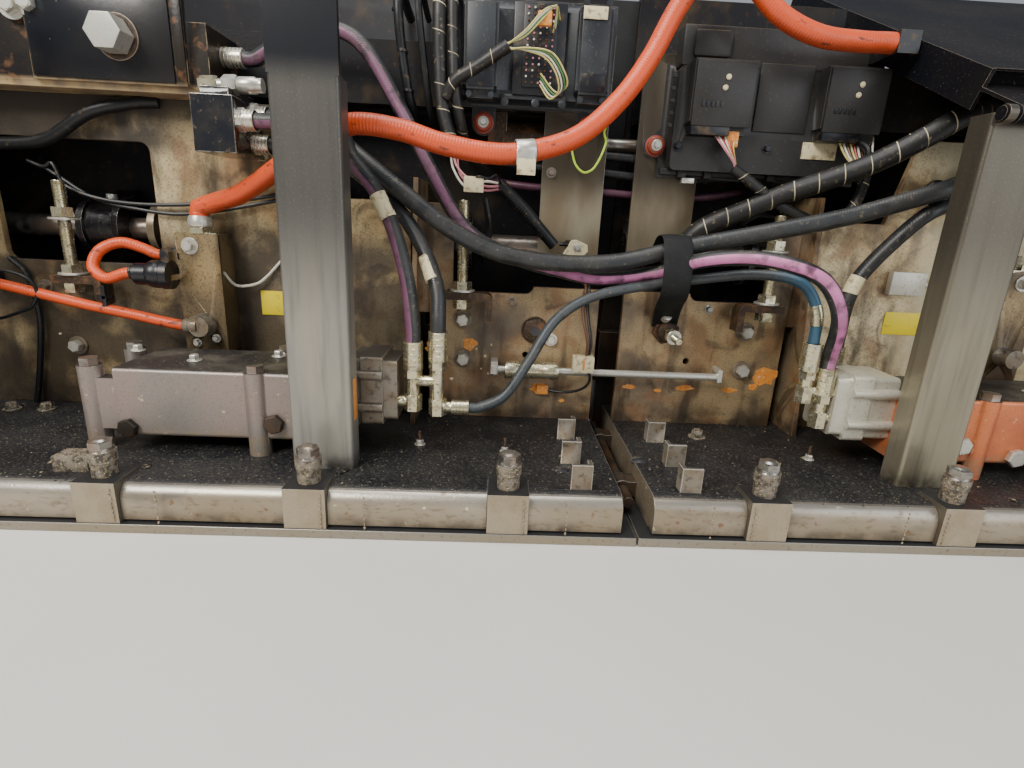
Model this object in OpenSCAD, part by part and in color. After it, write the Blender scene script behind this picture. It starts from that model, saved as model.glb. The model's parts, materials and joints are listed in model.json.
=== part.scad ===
// Basic screed of an asphalt paver, seen from behind with its rear covers off.
// X runs across the road, Y in the travel direction, Z up from the paved surface.
// Both halves are the same and meet at the crown joint in the plane X = 0.
// Lengths in the modules start from the rear edge of the sole plates.

/* [Screed] */
// Paving width of the two halves together
screed_w = 2500; // [2400:10:2700]
// Gap between the two sole plates at the crown joint
joint_gap = 2.5; // [2.2:0.1:4]
// Sole plate, rear edge to front edge
sole_depth = 395; // [390:1:400]
// Thickness of the sole plates
sole_t = 12; // [10:0.5:14]

/* [Base frame] */
// Height of the base frame's top sheet above the road
base_h = 62; // [58:1:66]
// Sheet thickness of the base frame
base_t = 8; // [6:0.5:10]
// How far the rear flange stands in from the sole's edge
flange_y = 8; // [6:0.5:12]
// Outside radius of the bend along the rear edge
bend_r = 22; // [16:1:26]
// Distance between the base frames at the crown joint
base_gap = 40; // [36:1:50]
// Thickness of the closing plates at the crown joint
close_t = 6; // [5:0.5:8]

/* [Sole clamps] */
// Distance of the first clamp from the crown joint
clamp_first = 167; // [160:1:175]
// Distance from clamp to clamp
clamp_pitch = 252; // [245:1:256]
// Width of a clamp block
clamp_w = 52; // [46:1:56]
// Length of a clamp block in the travel direction
clamp_d = 50; // [46:1:54]
// Height of a clamp block's top above the road
clamp_h = 66; // [64:0.5:70]
// Diameter of the spacer sleeve under the clamp nut
sleeve_d = 32; // [28:1:36]
// Height of the spacer sleeve
sleeve_h = 33; // [28:1:38]
// Thread diameter of the clamp studs
stud_d = 20; // [16:1:22]

/* [Frame walls] */
// Rear face of the inner wall
wall_y = 300; // [296:1:306]
// Thickness of the frame walls
wall_t = 10; // [8:0.5:12]
// Thickness of the front wall
front_t = 12; // [10:0.5:15]
// Height of the frame's top above the road
frame_h = 648; // [642:1:652]
// Height of the deflector sheet above the frame's top
deflector_h = 105; // [90:1:120]
// Thickness of the end walls with the extension flange
end_t = 15; // [12:0.5:18]
// Thickness of the gusset plates
gusset_t = 8; // [6:0.5:10]

/* [Posts and walkway] */
// Width of a rectangular post
post_w = 80; // [70:1:90]
// Depth of a rectangular post
post_d = 38; // [34:1:42]
// Rear face of the posts
post_y = 70; // [68:1:74]
// Inner face of the inner post from the crown joint
post_x = 374; // [366:1:380]
// Height of the post tops above the road
post_h = 538; // [532:1:541]
// Diameter of the walkway's hinge pins
hinge_d = 16; // [14:1:18]
// Depth of the walkway platform
walk_depth = 690; // [680:1:695]
// Height of the edge frame around the walkway platform
walk_t = 26; // [22:1:28]

/* [Vibration unit] */
// Inner end of the housing from the crown joint
vib_x0 = 392; // [388:1:400]
// Outer end of the housing from the crown joint
vib_x1 = 700; // [690:1:710]
// Rear face of the housing
vib_y = 110; // [108:1:116]
// Depth of the housing
vib_d = 130; // [120:1:140]
// Underside of the housing above the road
vib_z = 84; // [80:1:88]
// Height of the housing
vib_h = 96; // [90:1:102]

/* [Tamper] */
// Centre of the eccentric shaft in the travel direction
shaft_y = 376; // [372:1:378]
// Centre of the eccentric shaft above the road
shaft_z = 350; // [344:1:356]
// Diameter of the eccentric shaft
shaft_d = 36; // [34:1:38]
// Eccentricity of the tamper drive
throw = 2; // [1.5:0.1:2.5]
// Thickness of the tamper bar
bar_t = 28; // [24:1:32]

/* [Arm brackets] */
// Inner face of the arm bracket from the screed's end
arm_end = 240; // [210:1:270]
// Thickness of each bracket cheek
arm_t = 20; // [16:1:24]
// Gap between the two cheeks
arm_gap = 80; // [70:1:90]
// Clearance of the eccentrics in their straps
strap_gap = 10; // [8:0.5:11]
// Radius of the bore for the arm's pin
arm_bore_r = 25; // [20:0.5:28]
// Height of the arm pin above the road
arm_z = 520; // [500:1:540]
// Frontmost face of the brackets
nose_y = 700; // [692:1:730]

/* [Hidden] */
$fn = 48;
half_w = screed_w / 2;
arm_x = half_w - arm_end;
mid_y = nose_y / 2;
seat_gap = 0.3;
slide_gap = 1.5;
front_y = sole_depth + bar_t + 2 * slide_gap;

base_front = sole_depth - 3;
flange_z = sole_t + 2;
base_in = base_gap / 2;
base_out = half_w - end_t;
clamp_rear = 2;
clamp_n = floor((half_w - clamp_first - clamp_w) / clamp_pitch) + 1;
clamp_xs = [for (i = [0:clamp_n - 1]) clamp_first + i * clamp_pitch];
stud_y = clamp_rear + clamp_d / 2 + 1;
collar_h = 14;

// Cable hooks on the base sheet: [distance from the joint, rear face]
hooks = [[72, 32], [76, 112], [72, 204]];
hook_w = 28;
hook_h = 34;
hook_t = 6;

// Inner wall next to the crown joint
inner_end = 300;
inner_low = 290;
column_h = 414;
notch_x = [130, 262];
notch_r = 14;
plain_hole = [138, 175];
plain_hole_r = 5;
// Main wall with the window for the outer tamper bearing
main_in = 330;
window_in = 723;
window_w = 240;
window_z = 299;
window_h = 181;
window_r = 14;
beam_h = 90;
main_h = frame_h - beam_h - 17;
gusset_x = 318;
gusset_h = 450;

// Upper cross beam behind the walls
beam_in = 600;
beam_y = 255;
beam_wall = 10;

// Front box beam under the frame's top
box_d = 80;
box_h = 90;

post_outer = half_w - 254;
post_r = 5;
posts = [post_x, post_outer];
tube_t = 5;
hinge_y = post_y - 12;
hinge_z = post_h - 3;
hinge_r = 10;
// The folded platform's side rail lies on the buffers of the front wall
buffer_y = front_y - box_d + 8;
buffer_d = 40;
buffer_rise = 41;
fold_angle = atan((frame_h + buffer_rise - hinge_z) / (buffer_y + buffer_d / 2 - hinge_y));
walk_in = post_x + 14;
deck_z = 6;
deck_t = 4;
rib_h = 20;
ribs_y = [90, 240, 390, 540];
lining_in = 75;

// Vibration unit: sleeves [distance from the joint, distance from the rear]
sleeve_spots = [[738, 124], [514, 116], [738, 224], [514, 232]];
vib_sleeve_d = 30;
motor_ins = [326, 304];
motor_y = 126;
motor_d = 88;
motor_z = 103;
motor_h = 103;

// Tamper drive: bearings on the main wall's brackets
bearings = [268, 838];
bearing_w = 66;
collar_w = 10;
collar_r = 49.5;
shaft_in = 90;
shaft_out = half_w - 70;
disc_x = 752;
disc_r = 42;
drive_in = 26;
drive_r = 34;
eccentrics = [430, half_w - 190];
ecc_d = 46;
strap_wall = 8;
bearing_r = 44;
coupling_r = 30;
bar_in = 4;
bar_y = sole_depth + slide_gap;
bar_h = 190;
bar_top = sole_t + bar_h;
rod_w = 34;
// Wear strips on the front wall that guide the tamper bar: [lower edge, upper edge]
guide_strips = [[40, 90], [140, 190]];

// Crown spindle under the box beam, and the rod across the joint low on the wall
crown_y = front_y - 42;
crown_z = frame_h - box_h - 38;
gauge_y = 275;
gauge_z = 155;
gauge_r = 13;
gauge_rod_r = 6;

// Control units: [inner edge, outer edge, height, top above the frame's top]
nose_r = 60;
unit_y = 300;
unit_d = 34;
unit_plate = 6;
unit_l = [26, 266, 146, 56];
unit_r = [58, 380, 164, -14];
// Their lugs with rubber rings: [distance from the joint, drop from the frame's top]
lugs_l = [[58, 110], [221, 112]];
lugs_r = [[51, 132]];
lug_r = 18;
// Their plugs: [inner edge, width, drop from the unit's top, height]
plug_d = 26;
plugs_l = [[40, 48, 20, 122], [202, 48, 20, 122]];
plugs_r = [[84, 92, 4, 100], [282, 92, 4, 100]];
// Flat bars that carry them: [inner edge, outer edge, top above the frame's top]
flat_low = 340;
flat_l = [24, 125, 20];
flat_r = [24, 127, 0];

// Terminal box of the sole's heating
term_x = 612;
term_w = 60;
term_y = 250;
term_z = 170;
term_h = 182;
lid_t = 4;
gland_y = 265;
gland_r = 17;
gland_h = 24;

// Hydraulic fittings on the vibration motors
port_y = 146;
pipe_r = 8;
nut_r = 13;
// Upright ones: [distance from the joint, bottom, foot of the collar, top of the collar]
risers_l = [[305, 124, 185, 225], [270, 118, 198, 240]];
risers_r = [[290, 120, 170, 210], [262, 158, 205, 245]];
// Level ones: [inner end, outer end, height above the road]
levels_l = [[305, motor_ins[0], 137], [270, 305, 168], [250, 270, 130]];
levels_r = [[290, motor_ins[1], 133], [262, motor_ins[1], 173]];
drain = [330, 200, 232];

// Routes of the hoses: distances from the joint, from the soles' rear edge and above the road
hose_d = 21;
conduit_d = 27;
conduit_path = [
  [-640, gland_y, 376], [-640, gland_y, 388], [-612, 258, 398], [-565, 240, 412], [-490, 205, 452],
  [-430, 170, 484], [-380, 150, 500], [-320, 150, 496], [-270, 152, 483], [-205, 158, 475],
  [-155, 165, 480], [-90, 185, 505], [-35, 205, 555], [5, 225, 612], [40, 240, 680], [75, 246, 728],
  [112, 246, 738], [148, 242, 705], [182, 237, 675], [235, 234, 654], [300, 242, 652],
  [338, 250, 655], [350, 250, 655]
];
main_d = 25;
main_path = [
  [-522, 250, 515], [-508, 250, 515], [-445, 234, 508], [-395, 213, 472], [-330, 205, 425],
  [-260, 200, 377], [-190, 206, 347], [-105, 215, 336], [-15, 218, 341], [80, 213, 366],
  [185, 200, 391], [300, 186, 420], [410, 172, 458], [475, 196, 477], [526, 222, 480], [540, 222, 480]
];
long_path = [
  [-570, 300, 600], [-555, 300, 600], [-480, 290, 640], [-405, 282, 630], [-340, 270, 540],
  [-295, 252, 460], [-240, 238, 378], [-170, 244, 340], [-95, 240, 322], [-35, 236, 314],
  [40, 228, 326], [100, 186, 350], [155, 158, 358], [200, 130, 353], [240, 112, 335],
  [270, 112, 290], [290, port_y, 225], [290, port_y, 210]
];
short_path = [
  [-522, 205, 505], [-508, 205, 505], [-415, 194, 505], [-390, 184, 462], [-360, 176, 425],
  [-335, 166, 378], [-314, 153, 310], [-305, port_y, 240], [-305, port_y, 225]
];
return_path = [
  [-522, 250, 480], [-508, 250, 480], [-450, 252, 478], [-385, 238, 440], [-330, 210, 395],
  [-294, 184, 345], [-273, 160, 295], [-270, port_y, 255], [-270, port_y, 240]
];
cross_d = 15;
cross_path = [
  [-225, port_y, 130], [-212, port_y, 130], [-175, 150, 148], [-140, 162, 200], [-105, 182, 255],
  [-55, 200, 288], [20, 215, 306], [110, 212, 322], [190, 190, 334], [238, 160, 326],
  [260, 148, 290], [262, port_y, 258], [262, port_y, 245]
];
drain_path = [
  [330, 200, 232], [330, 200, 250], [332, 200, 300], [345, 200, 340], [385, 190, 400],
  [410, 180, 430], [470, 205, 447], [526, 222, 448], [540, 222, 448]
];
heat_d = 16;
heat_path = [
  [-975, 250, 268], [-960, 250, 268], [-900, 250, 256], [-820, 246, 240], [-740, 238, 228],
  [-670, 234, 216], [-655, 234, 216]
];
loop_path = [
  [-722, 228, 292], [-738, 228, 292], [-768, 229, 283], [-790, 236, 297], [-784, 246, 321],
  [-757, 256, 334], [-728, 263, 326], [-710, 264, 318], [-696, 264, 318]
];

// Bolt holes for an extension: distances from the rear edge, and heights
end_bolts_y = [90, 370];
end_bolts_z = [110, 300];
end_bolt_r = 11;

// Height of the folded edge frame's underside at a distance y from the rear edge
function fold_z(y) = hinge_z + (y - hinge_y) * tan(fold_angle)
  + (deck_z + deck_t - walk_t) / cos(fold_angle);

// Threaded adjusters on bent brackets
adjust_xs = [245, 845];
adjust_y = 270;
adjust_z = 275;

module block(low, high) {
  translate(low) cube(high - low);
}

// An outline in (Y, Z) drawn along X
module along_x(x0, x1) {
  translate([x0, 0, 0]) rotate([90, 0, 90]) linear_extrude(x1 - x0) children();
}

// An outline in (X, Z) drawn along Y
module along_y(y0, y1) {
  translate([0, y1, 0]) rotate([90, 0, 0]) linear_extrude(y1 - y0) children();
}

// A round bar along X, centred at (y, z)
module bar_x(x0, x1, y, z, r) {
  translate([x0, y, z]) rotate([0, 90, 0]) cylinder(h = x1 - x0, r = r);
}

// A round bar along Y, centred at (x, z)
module bar_y_dir(x, z, y0, y1, r) {
  translate([x, y1, z]) rotate([90, 0, 0]) cylinder(h = y1 - y0, r = r);
}

// A rectangle with rounded corners, from its lower left to its upper right corner
module round_rect(low, high, r) {
  translate([low[0] + r, low[1]]) square([high[0] - low[0] - 2 * r, high[1] - low[1]]);
  translate([low[0], low[1] + r]) square([high[0] - low[0], high[1] - low[1] - 2 * r]);
  for (x = [low[0] + r, high[0] - r], y = [low[1] + r, high[1] - r]) translate([x, y]) circle(r);
}

function unit(v) = v / norm(v);

// Direction of a route at its point i: the mean of the stretches before and after
function heading(path, i) =
  i == 0 ? unit(path[1] - path[0])
  : i == len(path) - 1 ? unit(path[i] - path[i - 1])
  : unit(unit(path[i + 1] - path[i]) + unit(path[i] - path[i - 1]));

// A hose swept along a route, one ring of points at each of the route's points
module hose(path, d, sides = 10) {
  n = len(path);
  rings = [for (i = [0:n - 1]) let (u = unit(cross(heading(path, i), [0, 1, 0])), v = cross(u, heading(path, i)))
    for (a = [0:sides - 1]) path[i] + d / 2 * (cos(360 * a / sides) * u + sin(360 * a / sides) * v)];
  skin = [for (i = [0:n - 2], a = [0:sides - 1]) let (b = (a + 1) % sides)
    [i * sides + a, i * sides + b, (i + 1) * sides + b, (i + 1) * sides + a]];
  ends = [[for (a = [sides - 1:-1:0]) a], [for (a = [0:sides - 1]) (n - 1) * sides + a]];
  translate([0, -mid_y, 0]) polyhedron(points = rings, faces = concat(skin, ends));
}

// Puts the right half's geometry on the right (side 1) or mirrors it (side -1)
module on_side(side) {
  translate([0, -mid_y, 0]) {
    if (side < 0) mirror([1, 0, 0]) children();
    if (side > 0) children();
  }
}

module sole(side) {
  color("dimgray") on_side(side) along_x(joint_gap / 2, half_w)
    polygon([[0, 0], [sole_depth - 6, 0], [sole_depth, 6], [sole_depth, sole_t], [0, sole_t]]);
}

// The bent sheet seen from its end, with its rear corner rounded
module sheet_outline(inset) {
  r = bend_r - inset;
  y0 = flange_y + inset;
  y1 = base_front - inset;
  z1 = base_h - inset;
  translate([y0 + r, z1 - r]) circle(r);
  translate([y0, flange_z]) square([2 * r, z1 - r - flange_z]);
  translate([y0 + r, flange_z]) square([y1 - y0 - r, z1 - flange_z]);
}

module base(side) {
  color("slategray") on_side(side) {
    difference() {
      along_x(base_in + close_t, base_out) sheet_outline(0);
      along_x(base_in, base_out + 1) sheet_outline(base_t);
      translate([0, 0, -1]) along_x(base_in, base_out + 1) sheet_outline(base_t);
      for (x = clamp_xs)
        block([x - clamp_w / 2, 0, 0], [x + clamp_w / 2, clamp_rear + clamp_d, base_h + 1]);
    }
    along_x(base_in, base_in + close_t) {
      sheet_outline(0);
      translate([flange_y + bend_r, sole_t]) square([base_front - flange_y - bend_r - 4, 20]);
    }
    for (h = hooks) {
      block([h[0] - hook_w / 2, h[1], base_h - 1], [h[0] + hook_w / 2, h[1] + hook_t, base_h + hook_h]);
      block([h[0] - hook_w / 2, h[1], base_h - 1], [h[0] - hook_w / 2 + hook_t, h[1] + 20, base_h + hook_h]);
    }
  }
}

module clamps(side) {
  color("gray") on_side(side) for (x = clamp_xs) {
    block([x - clamp_w / 2, clamp_rear, sole_t], [x + clamp_w / 2, clamp_rear + clamp_d, clamp_h]);
    translate([x, stud_y, clamp_h]) {
      cylinder(h = sleeve_h, d = sleeve_d - 3);
      translate([0, 0, sleeve_h - collar_h]) cylinder(h = collar_h, d = sleeve_d);
      translate([0, 0, sleeve_h]) cylinder(h = 4, d = sleeve_d - 5);
      translate([0, 0, sleeve_h + 4]) cylinder(h = 8, d = 1.45 * stud_d, $fn = 6);
      translate([0, 0, sleeve_h + 12]) cylinder(h = 3, d1 = stud_d + 2, d2 = stud_d - 6);
    }
  }
}

module inner_wall(side) {
  color("saddlebrown") on_side(side) {
    along_y(wall_y, wall_y + wall_t) difference() {
      polygon([
        [base_in, base_h], [inner_end, base_h], [inner_end, column_h], [notch_x[1] - notch_r, column_h],
        [notch_x[1] - notch_r, inner_low], [base_in, inner_low]
      ]);
      round_rect([notch_x[0], inner_low - 12], [notch_x[1], column_h + 2 * notch_r], notch_r);
      translate(plain_hole) circle(plain_hole_r);
    }
    along_x(gusset_x, gusset_x + gusset_t) difference() {
      polygon([
        [wall_y - 50, base_h], [base_front, base_h], [base_front, bar_top + 20],
        [front_y, bar_top + 20], [front_y, gusset_h], [wall_y, gusset_h],
        [wall_y - 40, 150]
      ]);
      translate([shaft_y, shaft_z]) circle(shaft_d / 2 + 7);
    }
    block([inner_end - 1, wall_y + wall_t / 2, 240], [gusset_x + 1, wall_y + wall_t, column_h]);
  }
}

module main_wall(side) {
  color("tan") on_side(side) along_y(wall_y, wall_y + wall_t) difference() {
    polygon([[main_in, base_h], [base_out, base_h], [base_out, main_h], [460, main_h],
             [430, column_h], [main_in, column_h]]);
    round_rect([window_in, window_z], [window_in + window_w, window_z + window_h], window_r);
  }
}

module front_wall(side) {
  color("dimgray") on_side(side) {
    // The inner edge leans away from the joint, so that the tops can close
    along_y(front_y, front_y + front_t) polygon([
      [2, sole_t + 6], [half_w - end_t, sole_t + 6], [half_w - end_t, frame_h],
      [base_in + 6, frame_h]
    ]);
    for (s = guide_strips)
      block([base_in, front_y - slide_gap + seat_gap, s[0]], [half_w - end_t - 8, front_y + 1, s[1]]);
    // Chamfered nose bar that presses the mix under the tamper
    along_x(base_in, half_w - end_t) translate([front_y + front_t - 1, sole_t + 6])
      polygon([[0, 0], [12, 0], [34, 22], [34, 60], [24, 72], [0, 72]]);
    if (side > 0) along_x(walk_in - 6, walk_in + 12) polygon([
      [buffer_y, frame_h - 1], [buffer_y + buffer_d, frame_h - 1],
      [buffer_y + buffer_d, fold_z(buffer_y + buffer_d) - seat_gap],
      [buffer_y, fold_z(buffer_y) - seat_gap]
    ]);
    // Deflector sheet with its bent lip; on the right it ends beside the platform
    deflector_out = side < 0 ? half_w - end_t : walk_in - 16;
    along_y(front_y, front_y + gusset_t) polygon([
      [base_in + 6, frame_h - 20], [deflector_out, frame_h - 20],
      [deflector_out, frame_h + deflector_h], [base_in + 8, frame_h + deflector_h]
    ]);
    block([base_in + 8, front_y, frame_h + deflector_h - gusset_t],
          [deflector_out, front_y + 36, frame_h + deflector_h]);
    // Box beam under the top edge
    along_x(base_in + 10, half_w - end_t) difference() {
      translate([front_y - box_d, frame_h - box_h]) square([box_d + 1, box_h]);
      translate([front_y - box_d + 8, frame_h - box_h + 8]) square([box_d - 16, box_h - 16]);
    }
  }
}

module end_wall(side) {
  color("dimgray") on_side(side) difference() {
    along_x(half_w - end_t, half_w) polygon([
      [flange_y, sole_t], [front_y + front_t, sole_t], [front_y + front_t, frame_h],
      [beam_y, frame_h - 60], [150, 470], [post_y - 30, 300], [flange_y, 150]
    ]);
    for (y = end_bolts_y, z = end_bolts_z) bar_x(half_w - end_t - 1, half_w + 1, y, z, end_bolt_r);
  }
}

module beam(side) {
  color("darkkhaki") on_side(side) {
    along_x(beam_in, half_w - end_t) difference() {
      translate([beam_y, main_h]) square([front_y - box_d - beam_y, beam_h]);
      translate([beam_y + beam_wall, main_h + beam_wall])
        square([front_y - box_d - beam_y - 2 * beam_wall, beam_h - 2 * beam_wall]);
    }
    along_x(beam_in, beam_in + 12)
      translate([beam_y, main_h]) square([front_y - box_d - beam_y, beam_h]);
    // Flange plate with its large bolt; on the left half it stands above the beam
    block([beam_in + 26, beam_y - 8, main_h + 8],
          [beam_in + 236, beam_y + 1, main_h + (side < 0 ? 127 : beam_h)]);
    translate([beam_in + 114, beam_y - 8, main_h + (side < 0 ? 64 : 44)]) rotate([90, 0, 0]) {
      cylinder(h = 5, d = 58);
      translate([0, 0, 5]) cylinder(h = 30, d = 48, $fn = 6);
    }
  }
}

module posts(side) {
  color("dimgray") on_side(side) for (x = posts) {
    difference() {
      translate([0, 0, base_h]) linear_extrude(post_h - base_h)
        round_rect([x, post_y], [x + post_w, post_y + post_d], post_r);
      block([x + tube_t, post_y + tube_t, base_h - 1],
            [x + post_w - tube_t, post_y + post_d - tube_t, post_h - tube_t]);
    }
    if (side < 0) block([x, post_y, post_h - 1], [x + post_w, post_y + 8, post_h + 120]);
    if (side > 0) for (dx = [0, post_w - 10]) difference() {
      union() {
        bar_x(x + dx, x + dx + 10, hinge_y, hinge_z, hinge_r);
        block([x + dx, hinge_y, hinge_z - hinge_r], [x + dx + 10, post_y + 1, hinge_z]);
      }
      bar_x(x + dx - 1, x + dx + 11, hinge_y, hinge_z, hinge_d / 2 + 0.05);
    }
  }
}

// Folding platform of the right half, drawn about its hinge and then tilted:
// folded forward it lies on the frame, underside up
module walkway() {
  x0 = walk_in;
  x1 = half_w;
  low = deck_z + deck_t - walk_t;
  color("black") translate([0, hinge_y - mid_y, hinge_z]) rotate([fold_angle, 0, 0]) {
    difference() {
      block([x0, -2, deck_z], [x1, walk_depth, deck_z + deck_t]);
      for (p = posts, dx = [-2, post_w - 12])
        block([p + dx, -3, deck_z - 1], [p + dx + 14, 14, deck_z + deck_t + 1]);
    }
    // Ribs between the tread and the lining sheet under it
    for (y = ribs_y) block([x0 + 4, y, deck_z + 1], [x1 - 4, y + 5, deck_z + deck_t + rib_h]);
    block([x0 + 4, lining_in, deck_z + deck_t + rib_h - 3], [x1 - 4, walk_depth - 4, deck_z + deck_t + rib_h]);
    block([x0, walk_depth - 5, low], [x1, walk_depth, deck_z + deck_t + rib_h]);
    for (x = [x0, x1 - 5]) block([x, 70, low], [x + 5, walk_depth, deck_z + deck_t + rib_h]);
    for (p = posts) {
      bar_x(p + 14, p + post_w - 14, 0, 0, hinge_r);
      block([p + 14, -2, 0], [p + post_w - 14, 10, deck_z + 1]);
      bar_x(p - 3, p + post_w + 3, 0, 0, hinge_d / 2);
    }
  }
}

module vib_housing(side) {
  color(side < 0 ? "rosybrown" : "indianred") on_side(side) {
    along_x(vib_x0, vib_x1) {
      translate([vib_y + 6, vib_z]) square([vib_d - 12, vib_h]);
      translate([vib_y, vib_z + 6]) square([vib_d, vib_h - 12]);
      for (y = [vib_y + 6, vib_y + vib_d - 6], z = [vib_z + 6, vib_z + vib_h - 6])
        translate([y, z]) circle(6);
    }
    for (s = sleeve_spots) {
      translate([s[0], s[1], base_h]) cylinder(h = vib_z + vib_h - base_h, d = vib_sleeve_d);
      translate([s[0], s[1], vib_z + vib_h - 1]) cylinder(h = 11, d = 24, $fn = 6);
    }
    for (y = [124, 224]) block([vib_x1 - 20, y - 10, vib_z + 8], [738, y + 10, vib_z + vib_h - 16]);
  }
}

// Ring plates of the gear motor, from its ports to the housing: [length, set-back of the faces]
module vib_motor(side) {
  x0 = motor_ins[side < 0 ? 0 : 1];
  color(side < 0 ? "dimgray" : "silver") on_side(side) {
    for (s = [[0, 20, 8], [19, 30, 2], [48, vib_x0 - x0 - 48, 5]])
      along_x(x0 + s[0], x0 + s[0] + s[1]) round_rect(
        [motor_y + s[2], motor_z + s[2]], [motor_y + motor_d - s[2], motor_z + motor_h - s[2]], 6);
    for (z = [motor_z + 28, motor_z + motor_h - 28])
      bar_x(x0 + 19, vib_x0, motor_y + 2, z, 7);
    for (p = side < 0 ? risers_l : risers_r) translate([p[0], port_y, 0]) {
      translate([0, 0, p[1]]) cylinder(h = p[2] - p[1] + 1, r = pipe_r + 1);
      translate([0, 0, p[1]]) cylinder(h = 24, r = nut_r, $fn = 6);
      translate([0, 0, p[2] - 12]) cylinder(h = 12, r = nut_r, $fn = 6);
      translate([0, 0, p[2]]) cylinder(h = p[3] - p[2], r = hose_d / 2 + 3);
    }
    for (p = side < 0 ? levels_l : levels_r) bar_x(p[0], p[1] + 1, port_y, p[2], pipe_r);
    if (side < 0) bar_x(225, 250, port_y, levels_l[2][2], cross_d / 2 + 3);
    if (side > 0) translate([drain[0], drain[1], motor_z + motor_h - 9])
      cylinder(h = drain[2] - motor_z - motor_h + 9, r = hose_d / 2 + 2);
  }
}

// Plummer blocks on the front wall, and the hydraulic motor at the shaft's inner end
module bearings(side) {
  color("black") on_side(side) {
    for (x = bearings) difference() {
      union() {
        bar_x(x - bearing_w / 2, x + bearing_w / 2, shaft_y, shaft_z, bearing_r);
        for (e = [x - bearing_w / 2, x + bearing_w / 2 - collar_w])
          bar_x(e, e + collar_w, shaft_y, shaft_z, collar_r);
        along_x(x - 20, x + 20) polygon([
          [shaft_y, shaft_z - bearing_r], [front_y, shaft_z - 62], [front_y, shaft_z + 62],
          [shaft_y, shaft_z + bearing_r]
        ]);
        translate([x, shaft_y, shaft_z + bearing_r - 4]) cylinder(h = 14, r = 8);
      }
      bar_x(x - bearing_w / 2 - 1, x + bearing_w / 2 + 1, shaft_y, shaft_z, shaft_d / 2 + 0.05);
    }
    bar_x(drive_in, shaft_in - 14, shaft_y, shaft_z, drive_r);
    bar_x(shaft_in - 15, shaft_in - 6, shaft_y, shaft_z, drive_r - 3);
    bar_x(shaft_in - 7, shaft_in - seat_gap, shaft_y, shaft_z, 12);
    block([shaft_in - 14, shaft_y, shaft_z - drive_r], [shaft_in - 6, front_y, shaft_z + drive_r]);
    for (x = [drive_in + 12, drive_in + 34]) translate([x, shaft_y, shaft_z + drive_r - 4])
      cylinder(h = 22, r = nut_r, $fn = 6);
  }
}

module shaft(side) {
  color("silver") on_side(side) {
    bar_x(shaft_in, shaft_out, shaft_y, shaft_z, shaft_d / 2);
    for (x = eccentrics) bar_x(x - 22, x + 22, shaft_y, shaft_z - throw, ecc_d / 2);
    bar_x(shaft_in, shaft_in + 24, shaft_y, shaft_z, coupling_r);
    bar_x(disc_x, disc_x + 12, shaft_y, shaft_z, disc_r);
  }
}

module tamper(side) {
  color("gray") on_side(side)
    along_x(bar_in, half_w - end_t - 5.5) polygon([
      [bar_y, 8], [bar_y + bar_t - 8, 0], [bar_y + bar_t, 8], [bar_y + bar_t, bar_top], [bar_y, bar_top]
    ]);
}

// A rod that hangs the tamper bar from the eccentric at the distance x from the joint
module tamper_rod(side, x) {
  z = shaft_z - throw;
  r = ecc_d / 2 + strap_gap + strap_wall;
  color("gray") on_side(side) difference() {
    union() {
      bar_x(x - rod_w / 2, x + rod_w / 2, shaft_y, z, r);
      along_x(x - rod_w / 2, x + rod_w / 2) polygon([
        [bar_y, bar_top], [bar_y + bar_t, bar_top], [bar_y + bar_t, bar_top + 16],
        [shaft_y + r - 2, z - 20], [shaft_y - 12, z - r + 6], [bar_y, bar_top + 16]
      ]);
    }
    bar_x(x - rod_w, x + rod_w, shaft_y, z, r - strap_wall);
  }
}

module arm_bracket(side) {
  y0 = front_y + front_t;
  y1 = nose_y - nose_r;
  color("darkkhaki") on_side(side) {
    for (x = [arm_x, arm_x + arm_t + arm_gap]) difference() {
      along_x(x, x + arm_t) {
        translate([y1, arm_z]) circle(nose_r);
        polygon([
          [y0, arm_z - 220], [y0 + 40, arm_z - 215], [y1 + nose_r * cos(45), arm_z - nose_r * sin(45)],
          [y1, arm_z + nose_r], [y0 + 50, frame_h - 40], [y0, frame_h - 40]
        ]);
      }
      bar_x(x - 1, x + arm_t + 1, y1, arm_z, arm_bore_r);
    }
    block([arm_x + arm_t, y0, arm_z - 180], [arm_x + arm_t + arm_gap, y0 + gusset_t, frame_h - 60]);
  }
}

module crown_hinge(side) {
  z = 30;
  color("gray") translate([0, -mid_y, 0]) {
    if (side < 0) {
      bar_y_dir(0, z, 60, 360, 7.95);
      for (y = [60, 330]) block([-base_in, y, z - 8], [-7, y + 30, z + 8]);
    }
    if (side > 0) for (y = [100, 280]) difference() {
      union() {
        block([0, y, z - 12], [base_in, y + 30, z + 12]);
        bar_y_dir(0, z, y, y + 30, 14);
      }
      bar_y_dir(0, z, y - 1, y + 31, 8);
    }
  }
}

module crown_barrel() {
  color("gray") translate([0, -mid_y, 0]) difference() {
    union() {
      bar_x(-190, -20, crown_y, crown_z, 28);
      translate([-110, crown_y, crown_z]) rotate([0, 90, 0]) cylinder(h = 44, r = 36, $fn = 6);
      block([-214, crown_y - 26, crown_z - 30], [-184, front_y, frame_h - box_h]);
    }
    bar_x(-150, -19, crown_y, crown_z, 20);
  }
}

module crown_screw() {
  color("silver") translate([0, -mid_y, 0]) {
    bar_x(-60, 190, crown_y, crown_z, 11);
    block([184, crown_y - 26, crown_z - 30], [214, front_y, frame_h - box_h]);
  }
}

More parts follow.
